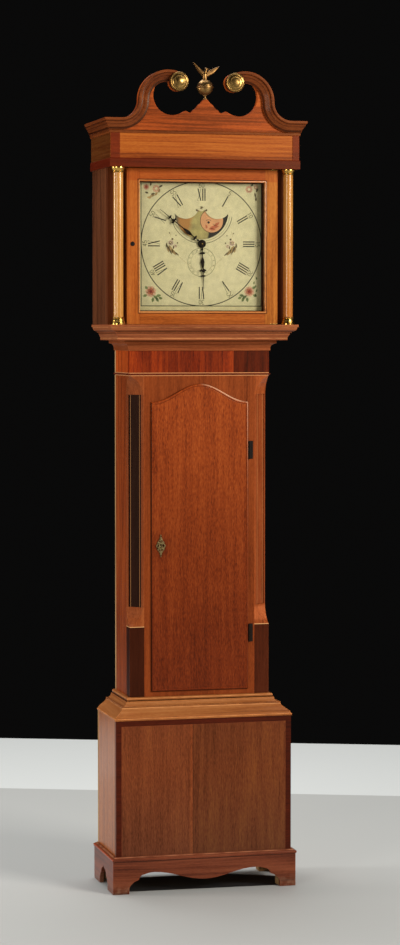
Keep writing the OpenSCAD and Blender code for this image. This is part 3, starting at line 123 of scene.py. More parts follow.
# Back and floor of the case, with the foot blocks and the seatboard: rough sawn pine, never polished,
# browned by age, nailed and glued where nobody looks. The first timber, so the grain is made here.
def feed(node, **sockets):
    """Set or link a node's inputs by their names, with _ for a space, or by number, as in i0."""
    for key, value in sockets.items():
        socket = node.inputs[int(key[1:]) if key[1:].isdigit() else key.replace("_", " ")]
        if isinstance(value, bpy.types.NodeSocket):
            node.id_data.links.new(value, socket)
        else:
            socket.default_value = value
    return node


def knit(kind, settings=None, tree=None, **sockets):
    """A new node, in the tree given or else in the tree of the first socket that feeds it."""
    if tree is None:
        tree = next(value.id_data for value in sockets.values() if isinstance(value, bpy.types.NodeSocket))
    node = tree.nodes.new("ShaderNode" + kind)
    for key, value in (settings or {}).items():
        setattr(node, key, value)
    return feed(node, **sockets)


def effect(name, takes, gives):
    """A node group, with the sockets of what it takes and the node that hands out what it gives."""
    group = bpy.data.node_groups.new(name, "ShaderNodeTree")
    for label, kind, value in takes:
        socket = group.interface.new_socket(label, in_out="INPUT", socket_type="NodeSocket" + kind)
        if value is not None:
            socket.default_value = value
    for label, kind in gives:
        group.interface.new_socket(label, in_out="OUTPUT", socket_type="NodeSocket" + kind)
    return group, group.nodes.new("NodeGroupInput").outputs, group.nodes.new("NodeGroupOutput")


def blot(vector, scale, detail=2.0, distortion=0.0):
    return knit("TexNoise", Vector=vector, Scale=scale, Detail=detail, Distortion=distortion).outputs["Fac"]


def sums(operation, a, b=0.0, c=0.0):
    return knit("Math", {"operation": operation}, i0=a, i1=b, i2=c).outputs[0]


def less(a, b):
    return sums("SUBTRACT", a, b)


def times(*values):
    product = values[0]
    for value in values[1:]:
        product = sums("MULTIPLY", product, value)
    return product


def spread(value, low, high, to_low=0.0, to_high=1.0):
    return knit("MapRange", i0=value, i1=low, i2=high, i3=to_low, i4=to_high).outputs[0]


def dye(share, a, b, blend="MIX"):
    return knit("Mix", {"data_type": "RGBA", "blend_type": blend}, i0=share, i6=a, i7=b).outputs[2]


def stretched(vector, sizes):
    return knit("VectorMath", {"operation": "MULTIPLY"}, i0=vector, i1=sizes).outputs[0]


wood_grain, take, give = effect(
    "wood_grain",
    [("Along", "Vector", None), ("Light", "Color", None), ("Middle", "Color", None), ("Dark", "Color", None),
     ("Figure", "Float", 0.5), ("Lines", "Float", 9.0), ("Fleck", "Float", 0.5), ("Pores", "Float", 0.5)],
    [("Color", "Color"), ("Roughness", "Float"), ("Height", "Float")],
)
sway = knit("TexNoise", Vector=stretched(take["Along"], (1, 1, 0.5)), Scale=5.0, Detail=1.0).outputs["Color"]
swayed = knit("VectorMath", {"operation": "MULTIPLY_ADD"}, i0=sway, i1=(0.012, 0.012, 0), i2=take["Along"])
swayed = swayed.outputs[0]
ring_field = blot(stretched(swayed, (1, 1, 0.09)), 7.0, 2.0, 0.15)
growth_rings = spread(sums("SINE", times(ring_field, times(take["Lines"], 6.2832))), -1.0, 1.0)
dashes = blot(stretched(swayed, (1, 1, 0.20)), 480.0)
fibres = blot(stretched(swayed, (1, 1, 0.025)), 620.0, 3.0)
patches = blot(stretched(take["Along"], (1, 1, 0.35)), 6.0)
streaks = blot(stretched(swayed, (1, 1, 0.02)), 170.0)
pores = times(spread(blot(stretched(swayed, (1, 1, 0.06)), 1500.0, 1.0), 0.60, 0.72), take["Pores"])
tone = 0.5
for layer, strength in ((growth_rings, times(take["Figure"], 0.62)), (dashes, times(take["Fleck"], 1.7)),
                        (fibres, 0.75), (streaks, times(take["Figure"], 2.2)), (patches, 0.6)):
    tone = sums("MULTIPLY_ADD", less(layer, 0.5), strength, tone)
dark_to_middle = dye(spread(tone, 0.0, 0.5), take["Dark"], take["Middle"])
to_light = dye(spread(tone, 0.5, 1.05), dark_to_middle, take["Light"])
feed(give, Color=dye(times(pores, 0.7), to_light, take["Dark"]),
     Roughness=spread(fibres, 0.2, 0.8, 0.30, 0.44), Height=less(times(fibres, 0.5), pores))

# Edge mask: timber lightens these edges, partly as wear and partly as painted highlight; metal bares them as
# wear.
worn_and_highlit_edges, take, give = effect("worn_and_highlit_edges", [("Radius", "Float", 0.0012), ("Patchy", "Float", 0.5)],
                                [("Mask", "Float"), ("Normal", "Vector")])
rounded = knit("Bevel", {"samples": 4}, Radius=take["Radius"]).outputs[0]
skin = knit("NewGeometry", tree=worn_and_highlit_edges).outputs
turn = knit("VectorMath", {"operation": "DOT_PRODUCT"}, i0=rounded, i1=skin["Normal"]).outputs["Value"]
edge_patches = spread(blot(skin["Position"], 38.0, 3.0), 0.35, 0.65, less(1.0, take["Patchy"]), 1.0)
feed(give, Mask=times(spread(turn, 0.995, 0.80), edge_patches), Normal=rounded)

# Hollows darkened by ambient occlusion: painted shade, broken up as patchy dirt.
hollow_grime_and_shade, take, give = effect("hollow_grime_and_shade", [("Reach", "Float", 0.01)], [("Mask", "Float")])
open_air = knit("AmbientOcclusion", {"samples": 4, "only_local": True}, Distance=take["Reach"]).outputs["AO"]
patchy = blot(knit("NewGeometry", tree=hollow_grime_and_shade).outputs["Position"], 55.0, 3.0)
feed(give, Mask=times(spread(open_air, 0.85, 0.35), spread(patchy, 0.3, 0.6, 0.55, 1.0)))


def shade(code, k=1.0):
    value = [int(code[i : i + 2], 16) / 255 * k for i in (0, 2, 4)]
    return [c / 12.92 if c <= 0.04045 else ((c + 0.055) / 1.055) ** 2.4 for c in value] + [1]


def parts(vector):
    return knit("SeparateXYZ", i0=vector).outputs


GRAIN_TURN = {"Z": (0, 0, 0), "X": (0, math.radians(90), 0), "Y": (math.radians(90), 0, 0)}


def grain_along(place, run):
    """The place turned for grain that runs along an axis; XY runs along X in front and Y on the sides."""
    along = [knit("Mapping", Vector=place, Rotation=GRAIN_TURN[axis]).outputs[0] for axis in run]
    if len(along) == 1:
        return along[0]
    x, y, z = [sums("ABSOLUTE", part) for part in parts(place.node.outputs["Normal"])]
    side = spread(less(x, y), 0.0, 0.05)
    return knit("Mix", {"data_type": "VECTOR"}, i0=side, i4=along[0], i5=along[1]).outputs[1]


def bare_material(name):
    """A material with its shader and the real place on the object."""
    finish = bpy.data.materials.new(name)
    finish.use_nodes = True
    tree = finish.node_tree
    return finish, tree.nodes["Principled BSDF"], knit("TexCoord", tree=tree).outputs["Object"]


def place_group(group, tree=None, **sockets):
    return knit("Group", {"node_tree": group}, tree, **sockets).outputs


def grain_laid(place, run, middle, light, dark, **character):
    return place_group(wood_grain, Along=grain_along(place, run), Middle=shade(middle), Light=shade(light),
                       Dark=shade(dark), **character)


def timber(name, middle, light, dark, run="Z", figure=0.5, lines=9.0, fleck=0.4, pores=0.5, wear_and_sheen=0.55,
           polish=0.35, coat=0.04, bump=0.12, gloss=0.22, radius=0.0012, tint=None):
    """Polished wood whose grain runs along one axis; tint(place, colour) may change its colour by place."""
    finish, shader, place = bare_material(name)
    grain = grain_laid(place, run, middle, light, dark, Figure=figure, Lines=lines, Fleck=fleck, Pores=pores)
    edges = place_group(worn_and_highlit_edges, finish.node_tree, Radius=radius, Patchy=0.6)
    colour = tint(place, grain["Color"]) if tint else grain["Color"]
    # Edges lightened, partly as rubbed wear and partly as painted highlight.
    worn = dye(times(edges["Mask"], wear_and_sheen), colour, shade(middle, 1.75))
    # Hollows darkened: painted shade with dirt.
    hollow_dirt_and_shade = times(place_group(hollow_grime_and_shade, finish.node_tree, Reach=0.012)["Mask"], 0.7)
    relief = knit("Bump", Strength=bump, Distance=0.0004, Height=grain["Height"], Normal=edges["Normal"])
    feed(shader, Base_Color=dye(hollow_dirt_and_shade, worn, shade(dark, 0.45)), Normal=relief.outputs[0],
         Roughness=sums("ADD", grain["Roughness"], polish - 0.36), Coat_Weight=coat, Coat_Roughness=0.18,
         Specular_IOR_Level=gloss, Specular_Tint=(1.0, 0.55, 0.3, 1))
    return finish


def dress(finish, *names):
    for name in names:
        slots = nodes[name].data.materials
        slots.clear()
        slots.append(finish)


rough_sawn = {"figure": 0.4, "lines": 8, "fleck": 0.2, "wear_and_sheen": 0.2, "polish": 0.75, "coat": 0.0, "bump": 0.5}
dress(timber("raw_pine", "a07a4e", "bd9a6b", "6d4e2f", **rough_sawn), "backboard")
dress(timber("pine_across", "9a744a", "b89263", "684a2c", "X", **rough_sawn),
      "bottom_and_foot_blocks", "seatboard_and_runners")


# Sides of the trunk: wide oak boards stained brown to go with the front, butted against the front posts.
# The grain runs upright and the polish is thin; a veneer of bright mahogany covers them beside the frieze,
# and the cheeks above, inside the hood, are left raw.
def between(value, low, high, soft=0.0005):
    return times(spread(value, low - soft, low + soft), spread(value, high + soft, high - soft))


def stain(colour, mask, ratio):
    return dye(mask, colour, (*ratio, 1), "MULTIPLY")


def lay(colour, mask, code):
    return dye(mask, colour, shade(code))


TRUNK_FRIEZE_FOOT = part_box("trunk_frieze")[0].z
STRING, STRING_HALF, STRING_CORE_HALF = TRUNK_FRIEZE_FOOT - 0.0018, 0.0042, 0.0025
CHEEK_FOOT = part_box("trunk_mouldings")[1].z - 0.012


def string_lines(z, colour):
    """The inlay under the frieze, right round the trunk: a dark red line between two light ones."""
    colour = lay(colour, between(z, STRING - STRING_HALF, STRING + STRING_HALF, 0.0002), "c98a58")
    return lay(colour, between(z, STRING - STRING_CORE_HALF, STRING + STRING_CORE_HALF, 0.0002), "4f170e")


def side_veneer(place, colour):
    z = parts(place)["Z"]
    colour = stain(colour, between(z, TRUNK_FRIEZE_FOOT, CHEEK_FOOT), (1.7, 1.5, 1.0))
    colour = stain(colour, spread(z, CHEEK_FOOT - 0.0005, CHEEK_FOOT + 0.0005), (1.0, 2.7, 6.0))
    return string_lines(z, colour)


trunk_oak = timber("trunk_oak", "843610", "a04c19", "551f06", figure=0.45, lines=12, fleck=0.5,
                   pores=0.9, wear_and_sheen=0.5, polish=0.42, coat=0.05, bump=0.3, tint=side_veneer)
dress(trunk_oak, "trunk_sides")


# Front frame of the trunk: one plane of straight-grained mahogany round the door. The stiles run through,
# and the rails above and below the door are let in between them with their grain across.
def frame_strings(place, colour):
    return string_lines(parts(place)["Z"], colour)


dress(timber("frame_mahogany", "773312", "8f421a", "501c07", figure=0.35, lines=8, fleck=0.5, pores=0.6,
             tint=frame_strings), "trunk_frame")


# Corner posts: square below and at the very top, chamfered between. Each chamfer is sunk in the middle
# for a strip of dark rosewood with two thin boxwood strings, and its curved stops are bright. The left
# post is painted darker as shade, its strip near black, and the right post lighter as lit, with a
# painted highlight on its lower stop.
POST_MIDDLE, POST_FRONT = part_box("corner_posts")[1].x - 0.018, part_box("trunk_frame")[1].y
BLOCK_TOP, STOP_TOP, SUNK_TOP = 0.705, 0.757, 1.3252


def post_veneers(place, colour):
    x, y, z = parts(place)
    out, back = less(sums("ABSOLUTE", x), POST_MIDDLE), less(y, POST_FRONT)
    across = sums("ABSOLUTE", sums("ADD", out, back))
    right = spread(x, -0.01, 0.01)
    left = less(1.0, right)
    block = spread(z, BLOCK_TOP + 0.0005, BLOCK_TOP - 0.0005)
    behind = times(spread(less(out, back), -0.0014, -0.002), between(across, -1, 0.0288))
    sunk = times(between(z, STOP_TOP, SUNK_TOP), behind)
    upper_stop = spread(z, SUNK_TOP - 0.0005, SUNK_TOP + 0.0005)
    colour = stain(colour, block, (0.30, 0.22, 0.24))
    # The left post's block is painted darker as shade.
    colour = stain(colour, times(left, block), (0.5, 0.4, 0.35))
    colour = stain(colour, sums("MAXIMUM", between(z, BLOCK_TOP, STOP_TOP), upper_stop), (1.2, 1.25, 1.15))
    # The right post is painted lighter above its block, as lit; the sunk strip is near black on the left
    # only, as shade.
    colour = stain(colour, times(right, less(1.0, block)), (1.25, 1.2, 1.1))
    colour = stain(colour, times(sunk, left), (0.06, 0.04, 0.08))
    colour = lay(colour, times(sunk, between(across, 0.0192, 0.0208, 0.0002)), "a87445")
    # A painted highlight on the curved face of the right post's lower stop.
    stop_highlight = times(right, between(z, BLOCK_TOP + 0.011, STOP_TOP - 0.005, 0.003))
    colour = stain(colour, stop_highlight, (1.5, 1.75, 2.3))
    colour = lay(colour, between(z, BLOCK_TOP - 0.0008, BLOCK_TOP + 0.0010, 0.0001), "d09a66")
    return string_lines(z, colour)


dress(timber("post_mahogany", "783719", "914d27", "4f210c", figure=0.3, fleck=0.4, tint=post_veneers),
      "corner_posts")


# Frieze over the door: upright blocks of sawn mahogany veneer, matched by eye, some red and some orange,
# with one shrinkage crack near the right-hand end.
FRIEZE_BLOCKS = ((-0.193, -0.158, (1.5, 1.7, 1.5)), (-0.132, -0.104, (1.45, 1.6, 1.4)),
                 (-0.02, 0.02, (1.12, 1.1, 1)), (0.064, 0.094, (1.45, 1.6, 1.4)),
                 (0.094, 0.2, (0.45, 0.36, 0.38)))
CRACK = 0.1428


def frieze_blocks(place, colour):
    x, y, z = parts(place)
    for left, right, ratio in FRIEZE_BLOCKS:
        colour = stain(colour, between(x, left, right, 0.0004), ratio)
    colour = stain(colour, between(x, CRACK - 0.0006, CRACK + 0.0006, 0.0002), (0.2, 0.15, 0.15))
    return string_lines(z, colour)


dress(timber("frieze_veneer", "681c06", "832d0a", "3f0c06", lines=16, fleck=0.6, tint=frieze_blocks),
      "trunk_frieze")


# Cove under the hood and the reeded strip under the frieze: run mahogany mouldings, mitred at the corners.
# The strip is the dark line of the inlay that runs round the trunk there.
COVE_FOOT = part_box("hood_base")[0].z - 0.041


def run_lines(place, colour, dirty_and_shaded=(), rubbed_and_highlit=(), worn="cf8f58"):
    """At these heights, dark lines in a moulding's sharp inner corners, dirt with painted shade,
    and pale lines on its arrises, wear with painted highlight.
    """
    z = parts(place)["Z"]
    for at in dirty_and_shaded:
        colour = stain(colour, between(z, at - 0.0010, at + 0.0010), (0.36, 0.3, 0.3))
    patchy = spread(blot(place, 30.0), 0.35, 0.6, 0.15, 0.7)
    for at in rubbed_and_highlit:
        colour = lay(colour, times(between(z, at - 0.0009, at + 0.0009), patchy), worn)
    return colour


def reed_line(place, colour):
    # A dark line in the quirk over the cove: dirt with painted shade.
    return string_lines(parts(place)["Z"], run_lines(place, colour, dirty_and_shaded=[COVE_FOOT + 0.008]))


dress(timber("cove_mahogany", "803f1f", "9c552e", "562410", "XY", figure=0.4, fleck=0.3, radius=0.0018,
             tint=reed_line), "trunk_mouldings")


# Trunk door: one wide board of quartered oak, full of small upright flecks and darker towards its foot,
# with a moulded lip worked round the edge that closes over the frame.
def add_mesh(name, points, faces, finish, body, slot=None, smooth=True):
    shape = bpy.data.meshes.new(name)
    shape.from_pydata([tuple(p) for p in points], [], faces)
    shape.materials.append(finish)
    shape.validate()
    tidy = bmesh.new()
    tidy.from_mesh(shape)
    bmesh.ops.recalc_face_normals(tidy, faces=tidy.faces)
    tidy.to_mesh(shape)
    tidy.free()
    if smooth:
        shape.shade_smooth()
        shape.set_sharp_from_angle(angle=math.radians(32))
    piece = bpy.data.objects.new(name, shape)
    bpy.context.scene.collection.objects.link(piece)
    if body:
        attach(piece, body)
    return piece


def loft(rings, capped=True):
    """Closed rings of as many points each, skinned one to the next."""
    count = len(rings[0])
    points = [point for ring in rings for point in ring]
    faces = []
    for start in range(0, len(points) - count, count):
        for i in range(count):
            after = (i + 1) % count
            faces.append((start + i, start + after, start + count + after, start + count + i))
    if capped:
        faces += [tuple(range(count)), tuple(range(len(points) - count, len(points)))]
    return points, faces


door_low, door_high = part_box("trunk_door")
front = door_low.y
LIP, DOOR_RISE = 0.006, 0.048
DOOR_SHOULDER = door_high.z - DOOR_RISE - LIP
KEY = Vector((door_low.x + 0.0255, front, (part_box("trunk_lock")[0].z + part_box("trunk_lock")[1].z) / 2))


def door_ring(grow, y, steps=40):
    half, foot = door_high.x - LIP + grow, door_low.z + LIP - grow
    ring = [(-half, y, foot), (half, y, foot)]
    for x in [half * (1 - 2 * i / steps) for i in range(steps + 1)]:
        ring.append((x, y, DOOR_SHOULDER + grow + DOOR_RISE * (1 + math.cos(math.pi * x / half)) / 2))
    return ring


def door_fade(place, colour):
    x, y, z = parts(place)
    low = spread(sums("ADD", z, times(blot(place, 3.0), 0.35)), 1.50, 0.90)
    colour = stain(colour, low, (0.55, 0.46, 0.52))
    # Dirt round the keyhole; under the plate the wood is near black, dirt and the painted shade seen through
    # its holes.
    from_key = knit("VectorMath", {"operation": "DISTANCE"}, i0=place, i1=KEY).outputs["Value"]
    colour = stain(colour, spread(from_key, 0.050, 0.012), (0.72, 0.66, 0.66))
    colour = stain(colour, spread(from_key, 0.0135, 0.0100), (0.22, 0.17, 0.17))
    # Lip faces turned left or down are darkened as painted shade, those turned right and up lightened as
    # highlight.
    face = parts(place.node.outputs["Normal"])
    shaded_faces = sums("MAXIMUM", spread(face["X"], -0.15, -0.5), spread(face["Z"], -0.15, -0.5))
    colour = stain(colour, shaded_faces, (0.35, 0.3, 0.32))
    rubbed_and_highlit = times(spread(face["X"], 0.0, 0.25), spread(face["Z"], 0.1, 0.35))
    return lay(colour, times(rubbed_and_highlit, 0.75), "e0b08a")


# From the back edge over the lip to the face: how far outside the frame's opening, and how far back
lip_shape = [(-0.001, door_high.y - front), (-0.001, 0.0057), (LIP, 0.0057), (LIP, 0.0036),
             (0.0054, 0.0018), (0.0040, 0.0005), (0.0022, 0), (0.0006, 0.0004), (-0.0002, 0.0014),
             (-0.001, 0.0014), (-0.0012, 0.0006)]
door_wood = timber("door_wood", "863611", "a04b1b", "5a1f09", figure=0.30, lines=10, fleck=1.0, pores=1.0,
                   wear_and_sheen=0.4, polish=0.36, coat=0.1, tint=door_fade)
door_rings = [door_ring(out, front + back) for out, back in lip_shape]
door_board = add_mesh("door_board", *loft(door_rings), door_wood, "trunk_door", "orange_mahogany")
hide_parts("trunk_door")


# Butt hinges of the trunk door, a small iron pair gone dark; the leaves are let in flush with the knuckle
# standing proud. Like all metal here they take their surface from one recipe of patina and rubbed edges.
def metal(name, bright, dull, rough=0.3, patina=0.5, scale=30.0, wear_and_sheen=0.6, spots=0.0, tint=None):
    finish, shader, place = bare_material(name)
    grime = spread(blot(place, scale, 4.0, 0.4), 0.62 - patina * 0.3, 0.72)
    edges = place_group(worn_and_highlit_edges, finish.node_tree, Radius=0.0006, Patchy=0.4)
    covered = times(grime, less(1.0, times(edges["Mask"], wear_and_sheen)))
    colour = dye(covered, shade(bright), shade(dull))
    cast_skin = blot(place, scale * 18)
    relief = knit("Bump", Strength=0.15, Distance=0.0003, Height=cast_skin, Normal=edges["Normal"])
    feed(shader, Base_Color=tint(place, colour) if tint else colour, Normal=relief.outputs[0],
         Roughness=spread(covered, 0, 1, rough, min(rough + 0.3, 0.9)),
         Metallic=spread(covered, 0, 1, 1.0, 1.0 - spots))
    return finish


dark_iron = metal("dark_iron", "28201a", "120d0a", rough=0.55, patina=1.0, spots=0.5)
dress(dark_iron, "hinge_plates", "hinge_leaves")


# Escutcheon and lock: a pierced plate of cast brass gone brown, pinned to the door's face over the
# keyhole, with the iron lock in its brass case on the back. The case keeps the CAD's shape.
old_brass = metal("old_brass", "9a8458", "1c150d", rough=0.34, patina=1.0, scale=150, wear_and_sheen=0.9)
PLATE_THICK, PLATE_EDGE = 0.0013, 0.0004
# Right half of the outline and of the piercing, [across, up] in millimetres from the keyhole
plate_half = [(0, 31), (1.6, 28.5), (1.0, 25.5), (3.4, 23), (2.8, 19.5), (5.6, 17), (5.0, 13.5), (9.2, 11.5),
              (10.0, 8.5), (8.8, 6.0), (12.6, 3.5), (13.2, 0), (12.0, -3.5), (9.0, -5.0), (10.6, -8.0),
              (9.0, -11.5), (5.2, -12.5), (6.0, -16.0), (3.0, -18.5), (3.4, -22.0), (1.2, -24.5),
              (1.4, -28.0), (0, -31)]
scroll_holes = [[(6.2, 5.0), (8.6, 2.6), (9.8, -0.8), (7.4, -2.6), (5.0, -0.6), (4.6, 2.8)],
                [(1.6, 9.0), (4.2, 9.6), (5.0, 12.0), (2.6, 15.0), (1.4, 12.4)],
                [(1.6, -10.0), (4.4, -8.2), (5.8, -9.6), (3.4, -13.0), (1.6, -15.4)]]


def key_outline(radius, lift, slot_half, foot, steps=range(-150, 151, 20)):
    """A keyhole: a round hole that opens into a slot below it."""
    hole = [(radius * math.sin(a), lift + radius * math.cos(a)) for a in map(math.radians, steps)]
    return hole + [(slot_half, foot), (-slot_half, foot)]


def cast_plate(name, rings, thick, edge, at, finish, body, slot):
    sketch = bpy.data.curves.new(name, "CURVE")
    sketch.dimensions, sketch.fill_mode = "2D", "BOTH"
    sketch.extrude, sketch.bevel_depth, sketch.bevel_resolution = thick / 2 - edge, edge, 2
    sketch.offset = -edge
    for ring in rings:
        line = sketch.splines.new("POLY")
        line.points.add(len(ring) - 1)
        for point, (x, z) in zip(line.points, ring):
            point.co = (x / 1000, z / 1000, 0, 1)
        line.use_cyclic_u = True
    drawn = bpy.data.objects.new(name + "_sketch", sketch)
    shape = bpy.data.meshes.new_from_object(drawn)
    bpy.data.objects.remove(drawn)
    shape.transform(Matrix.Translation(at) @ Matrix.Rotation(math.radians(90), 4, "X"))
    cast = bmesh.new()
    cast.from_mesh(shape)
    bmesh.ops.remove_doubles(cast, verts=cast.verts, dist=1e-6)
    points = [v.co.copy() for v in cast.verts]
    faces = [[v.index for v in f.verts] for f in cast.faces]
    cast.free()
    return add_mesh(name, points, faces, finish, body, slot)


other_holes = [[(-x, z) for x, z in reversed(ring)] for ring in scroll_holes]
outline = plate_half + [(-x, z) for x, z in reversed(plate_half[1:-1])]
cast_plate("escutcheon", [outline, key_outline(2.4, 3, 1.3, -5)] + scroll_holes + other_holes, PLATE_THICK,
           PLATE_EDGE, KEY - Vector((0, PLATE_THICK / 2, 0)), old_brass, "trunk_door", "brass")
case = bmesh.new()
case.from_mesh(nodes["trunk_lock"].data)
before_door = [v for v in case.verts if v.co.y < (front + door_high.y) / 2]
bmesh.ops.delete(case, geom=before_door, context="VERTS")
case_points = [v.co.copy() for v in case.verts]
case_faces = [[v.index for v in f.verts] for f in case.faces]
lock_case = add_mesh("lock_case", case_points, case_faces, old_brass, "trunk_door", "brass", smooth=False)
case.free()
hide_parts("trunk_lock")
dress(metal("lock_iron", "6d6358", "3a302a", rough=0.42, patina=0.6), "lock_bolt")


# Moulding between trunk and base: light straight-grained mahogany, an ogee and a hollow over steps, run in
# lengths along the front and sides, mitred at the corners and glued on.
MOULDING_FOOT, MOULDING_TOP = (corner.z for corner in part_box("base_moulding"))


def moulded_lines(place, colour):
    # Dark lines in the quirks and pale ones on the arrises: dirt and wear with painted shade and highlight.
    rubbed_and_highlit = [MOULDING_FOOT + 0.0045, MOULDING_FOOT + 0.030, MOULDING_TOP - 0.003]
    return run_lines(place, colour, [MOULDING_FOOT + 0.033, MOULDING_TOP - 0.0095], rubbed_and_highlit)


dress(timber("base_moulding_wood", "91552a", "a96e3e", "633119", "XY", figure=0.45, lines=10, fleck=0.3,
             radius=0.0022, wear_and_sheen=1.0, coat=0.1, tint=moulded_lines), "base_moulding")


# Base: two wide oak boards side by side on the front, with a paler stripe beside the joint; a narrow
# crossband of mahogany is let in along both sides and the top. The side boards are oak too.
JOINT = -0.031


def base_boards(place, colour):
    x, y, z = parts(place)
    stripe = times(spread(x, JOINT - 0.011, JOINT - 0.002), spread(x, JOINT + 0.001, JOINT - 0.001))
    colour = stain(colour, spread(x, JOINT - 0.0025, JOINT + 0.0005), (0.80, 0.82, 0.82))
    colour = stain(colour, stripe, (1.5, 1.45, 1.2))
    colour = stain(colour, spread(z, 0.32, 0.10), (0.74, 0.90, 1.25))
    return stain(colour, between(x, JOINT - 0.0006, JOINT + 0.0010, 0.0003), (0.4, 0.36, 0.36))


dress(timber("base_oak", "6e341b", "874b21", "421b09", figure=0.22, fleck=0.6, pores=0.7,
             wear_and_sheen=0.3, polish=0.38, tint=base_boards), "base_panel")
dress(timber("side_oak", "9d5621", "b76b2e", "6b340e", figure=0.4, lines=10, fleck=0.6, pores=1.0, wear_and_sheen=0.6,
             polish=0.30, coat=0.3, bump=0.2), "base_sides")
dress(timber("crossband", "3c0f06", "501709", "250706", "X", figure=0.3, fleck=0.4, polish=0.3),
      "crossbanding")


# Plinth: reddish mahogany sawn to bracket feet and a serpentine apron, with a small moulding along the top.
# The feet are scuffed from mops and moving; rough pine blocks and the case's bottom lie behind them.
PLINTH_SIDE, PLINTH_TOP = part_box("plinth")[0].x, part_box("plinth")[1].z


def scuffed_feet(place, colour):
    x, y, z = parts(place)
    scuffs = times(spread(z, 0.035, 0.0), spread(blot(place, 60, 4), 0.4, 0.62), 0.35)
    # The plinth's left side is painted much lighter: a painted sheen, the floor's reflection.
    colour = stain(colour, spread(x, PLINTH_SIDE + 0.003, PLINTH_SIDE + 0.002), (3.2, 2.9, 2.8))
    # A dark line under the top moulding and a pale one on its arris: dirt and wear with painted shade and
    # highlight.
    colour = run_lines(place, colour, [PLINTH_TOP - 0.0125], [PLINTH_TOP - 0.0015], "b87a58")
    return lay(stain(colour, spread(z, 0.03, 0.0), (0.7, 0.65, 0.65)), scuffs, "9a7a60")


dress(timber("plinth_mahogany", "632e1b", "794028", "3e160c", "XY", figure=0.6, lines=6, fleck=0.3,
             wear_and_sheen=1.0, polish=0.34, coat=0.2, radius=0.0022, tint=scuffed_feet), "plinth")


# Movement: brass plates, pillars and wheels cut and filed by hand, with steel arbors, anchor and hammer,
# and the bell on its stand. The brass has gone yellow-brown and the steel is grey.
plate_brass = metal("plate_brass", "c9a055", "7b5a2c", rough=0.32, patina=0.45, scale=40)
dress(plate_brass, "movement_frame", "great_wheel", "second_wheel", "escape_wheel", "strike_great_wheel",
      "pin_wheel", "fly", "cannon_wheel", "motion_wheel", "hour_wheel")
dress(metal("arbor_steel", "8f8a82", "4d443c", rough=0.3, patina=0.4), "anchor", "hammer")
dress(metal("bell_bronze", "b99a62", "6b5230", rough=0.25, patina=0.6, scale=25), "bell")


# Dial: sheet iron painted cream and gone greenish, finely crazed. The hour circle, the square line, the
# date ring and the moon's scale are ruled on it in thin brown paint.
CENTRE = (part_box("dial")[0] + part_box("dial")[1]) / 2
DIAL_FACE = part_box("dial")[0].y
# In millimetres from the hands' centre: the hour circle, the square line, the date ring and the moon
RING_R, SQUARE_HALF, DATE_Z, MOON_Z = 165, 165.2, -49, 86


def around(place, x, z):
    """Distance from a point given in millimetres from the hands' centre."""
    flat = stretched(place, (1, 0, 1))
    middle = (CENTRE.x + x / 1000, 0, CENTRE.z + z / 1000)
    return knit("VectorMath", {"operation": "DISTANCE"}, i0=flat, i1=middle).outputs["Value"]


def paint(name, code, tint=None, rough=0.45, mottle=0.1):
    finish, shader, place = bare_material(name)
    cloud = spread(blot(place, 60.0, 4.0), 0.3, 0.7)
    colour = dye(cloud, shade(code, 1 - mottle), shade(code, 1 + mottle / 2))
    feed(shader, Base_Color=tint(place, colour) if tint else colour, Roughness=rough, Specular_IOR_Level=0.3)
    return finish


def ruled(colour, distance, at, width, code, mask=1.0):
    line = between(distance, (at - width / 2) / 1000, (at + width / 2) / 1000, 0.0002)
    return lay(colour, times(line, mask), code)


def dial_lines(place, colour):
    x, y, z = parts(place)
    centre, date, moon = around(place, 0, 0), around(place, 0, DATE_Z), around(place, 0, MOON_Z)
    colour = stain(colour, spread(blot(place, 9.0, 3.0), 0.45, 0.7), (0.97, 0.97, 0.93))
    cracks = knit("TexVoronoi", {"feature": "DISTANCE_TO_EDGE"}, Vector=place, Scale=170.0)
    colour = stain(colour, spread(cracks.outputs["Distance"], 0.05, 0.0, 0.0, 0.3), (0.75, 0.7, 0.55))
    # Painted shade: the dial grows darker out towards its corners.
    colour = stain(colour, spread(centre, 0.12, 0.24), (0.86, 0.87, 0.8))
    under = spread(z, CENTRE.z + 0.074, CENTRE.z + 0.070)
    colour = ruled(colour, centre, RING_R, 2.4, "241f10")
    colour = ruled(colour, date, 38, 1.2, "7f7a52")
    colour = ruled(colour, date, 29, 0.7, "a29c74")
    colour = ruled(colour, moon, 79, 0.8, "8a8358", under)
    colour = ruled(colour, moon, 85, 1.4, "555032", under)
    square = sums("MAXIMUM", sums("ABSOLUTE", less(x, CENTRE.x)), sums("ABSOLUTE", less(z, CENTRE.z)))
    colour = stain(colour, spread(square, 0.1655, 0.1665), (1.06, 1.03, 0.95))
    return ruled(colour, square, SQUARE_HALF, 2.1, "34381c")


dress(paint("dial_cream", "ecdfb2", dial_lines, rough=0.38, mottle=0.05), "dial")


# Hours and minutes on the dial: Roman hours with thick and hair strokes, standing out from the centre, and
# small outlined five-minute figures and the days inside the date ring, in thin paint half worn away.
def pen(line, width):
    """Quads that follow a line of points with that width, all in millimetres from the hands' centre."""
    quads = []
    for (x0, z0), (x1, z1) in zip(line, line[1:]):
        k = width / 2 / math.hypot(x1 - x0, z1 - z0)
        sx, sz = (z0 - z1) * k, (x1 - x0) * k
        quads.append([(x0 + sx, z0 + sz), (x0 - sx, z0 - sz), (x1 - sx, z1 - sz), (x1 + sx, z1 + sz)])
    return quads


def spoke(turn, line, out=0.0):
    """A line drawn upright at the top of the dial, carried out and round it by that part of a turn."""
    a = 2 * math.pi * turn
    cos, sin = math.cos(a), math.sin(a)
    return [(x * cos + (out + z) * sin, (out + z) * cos - x * sin) for x, z in line]


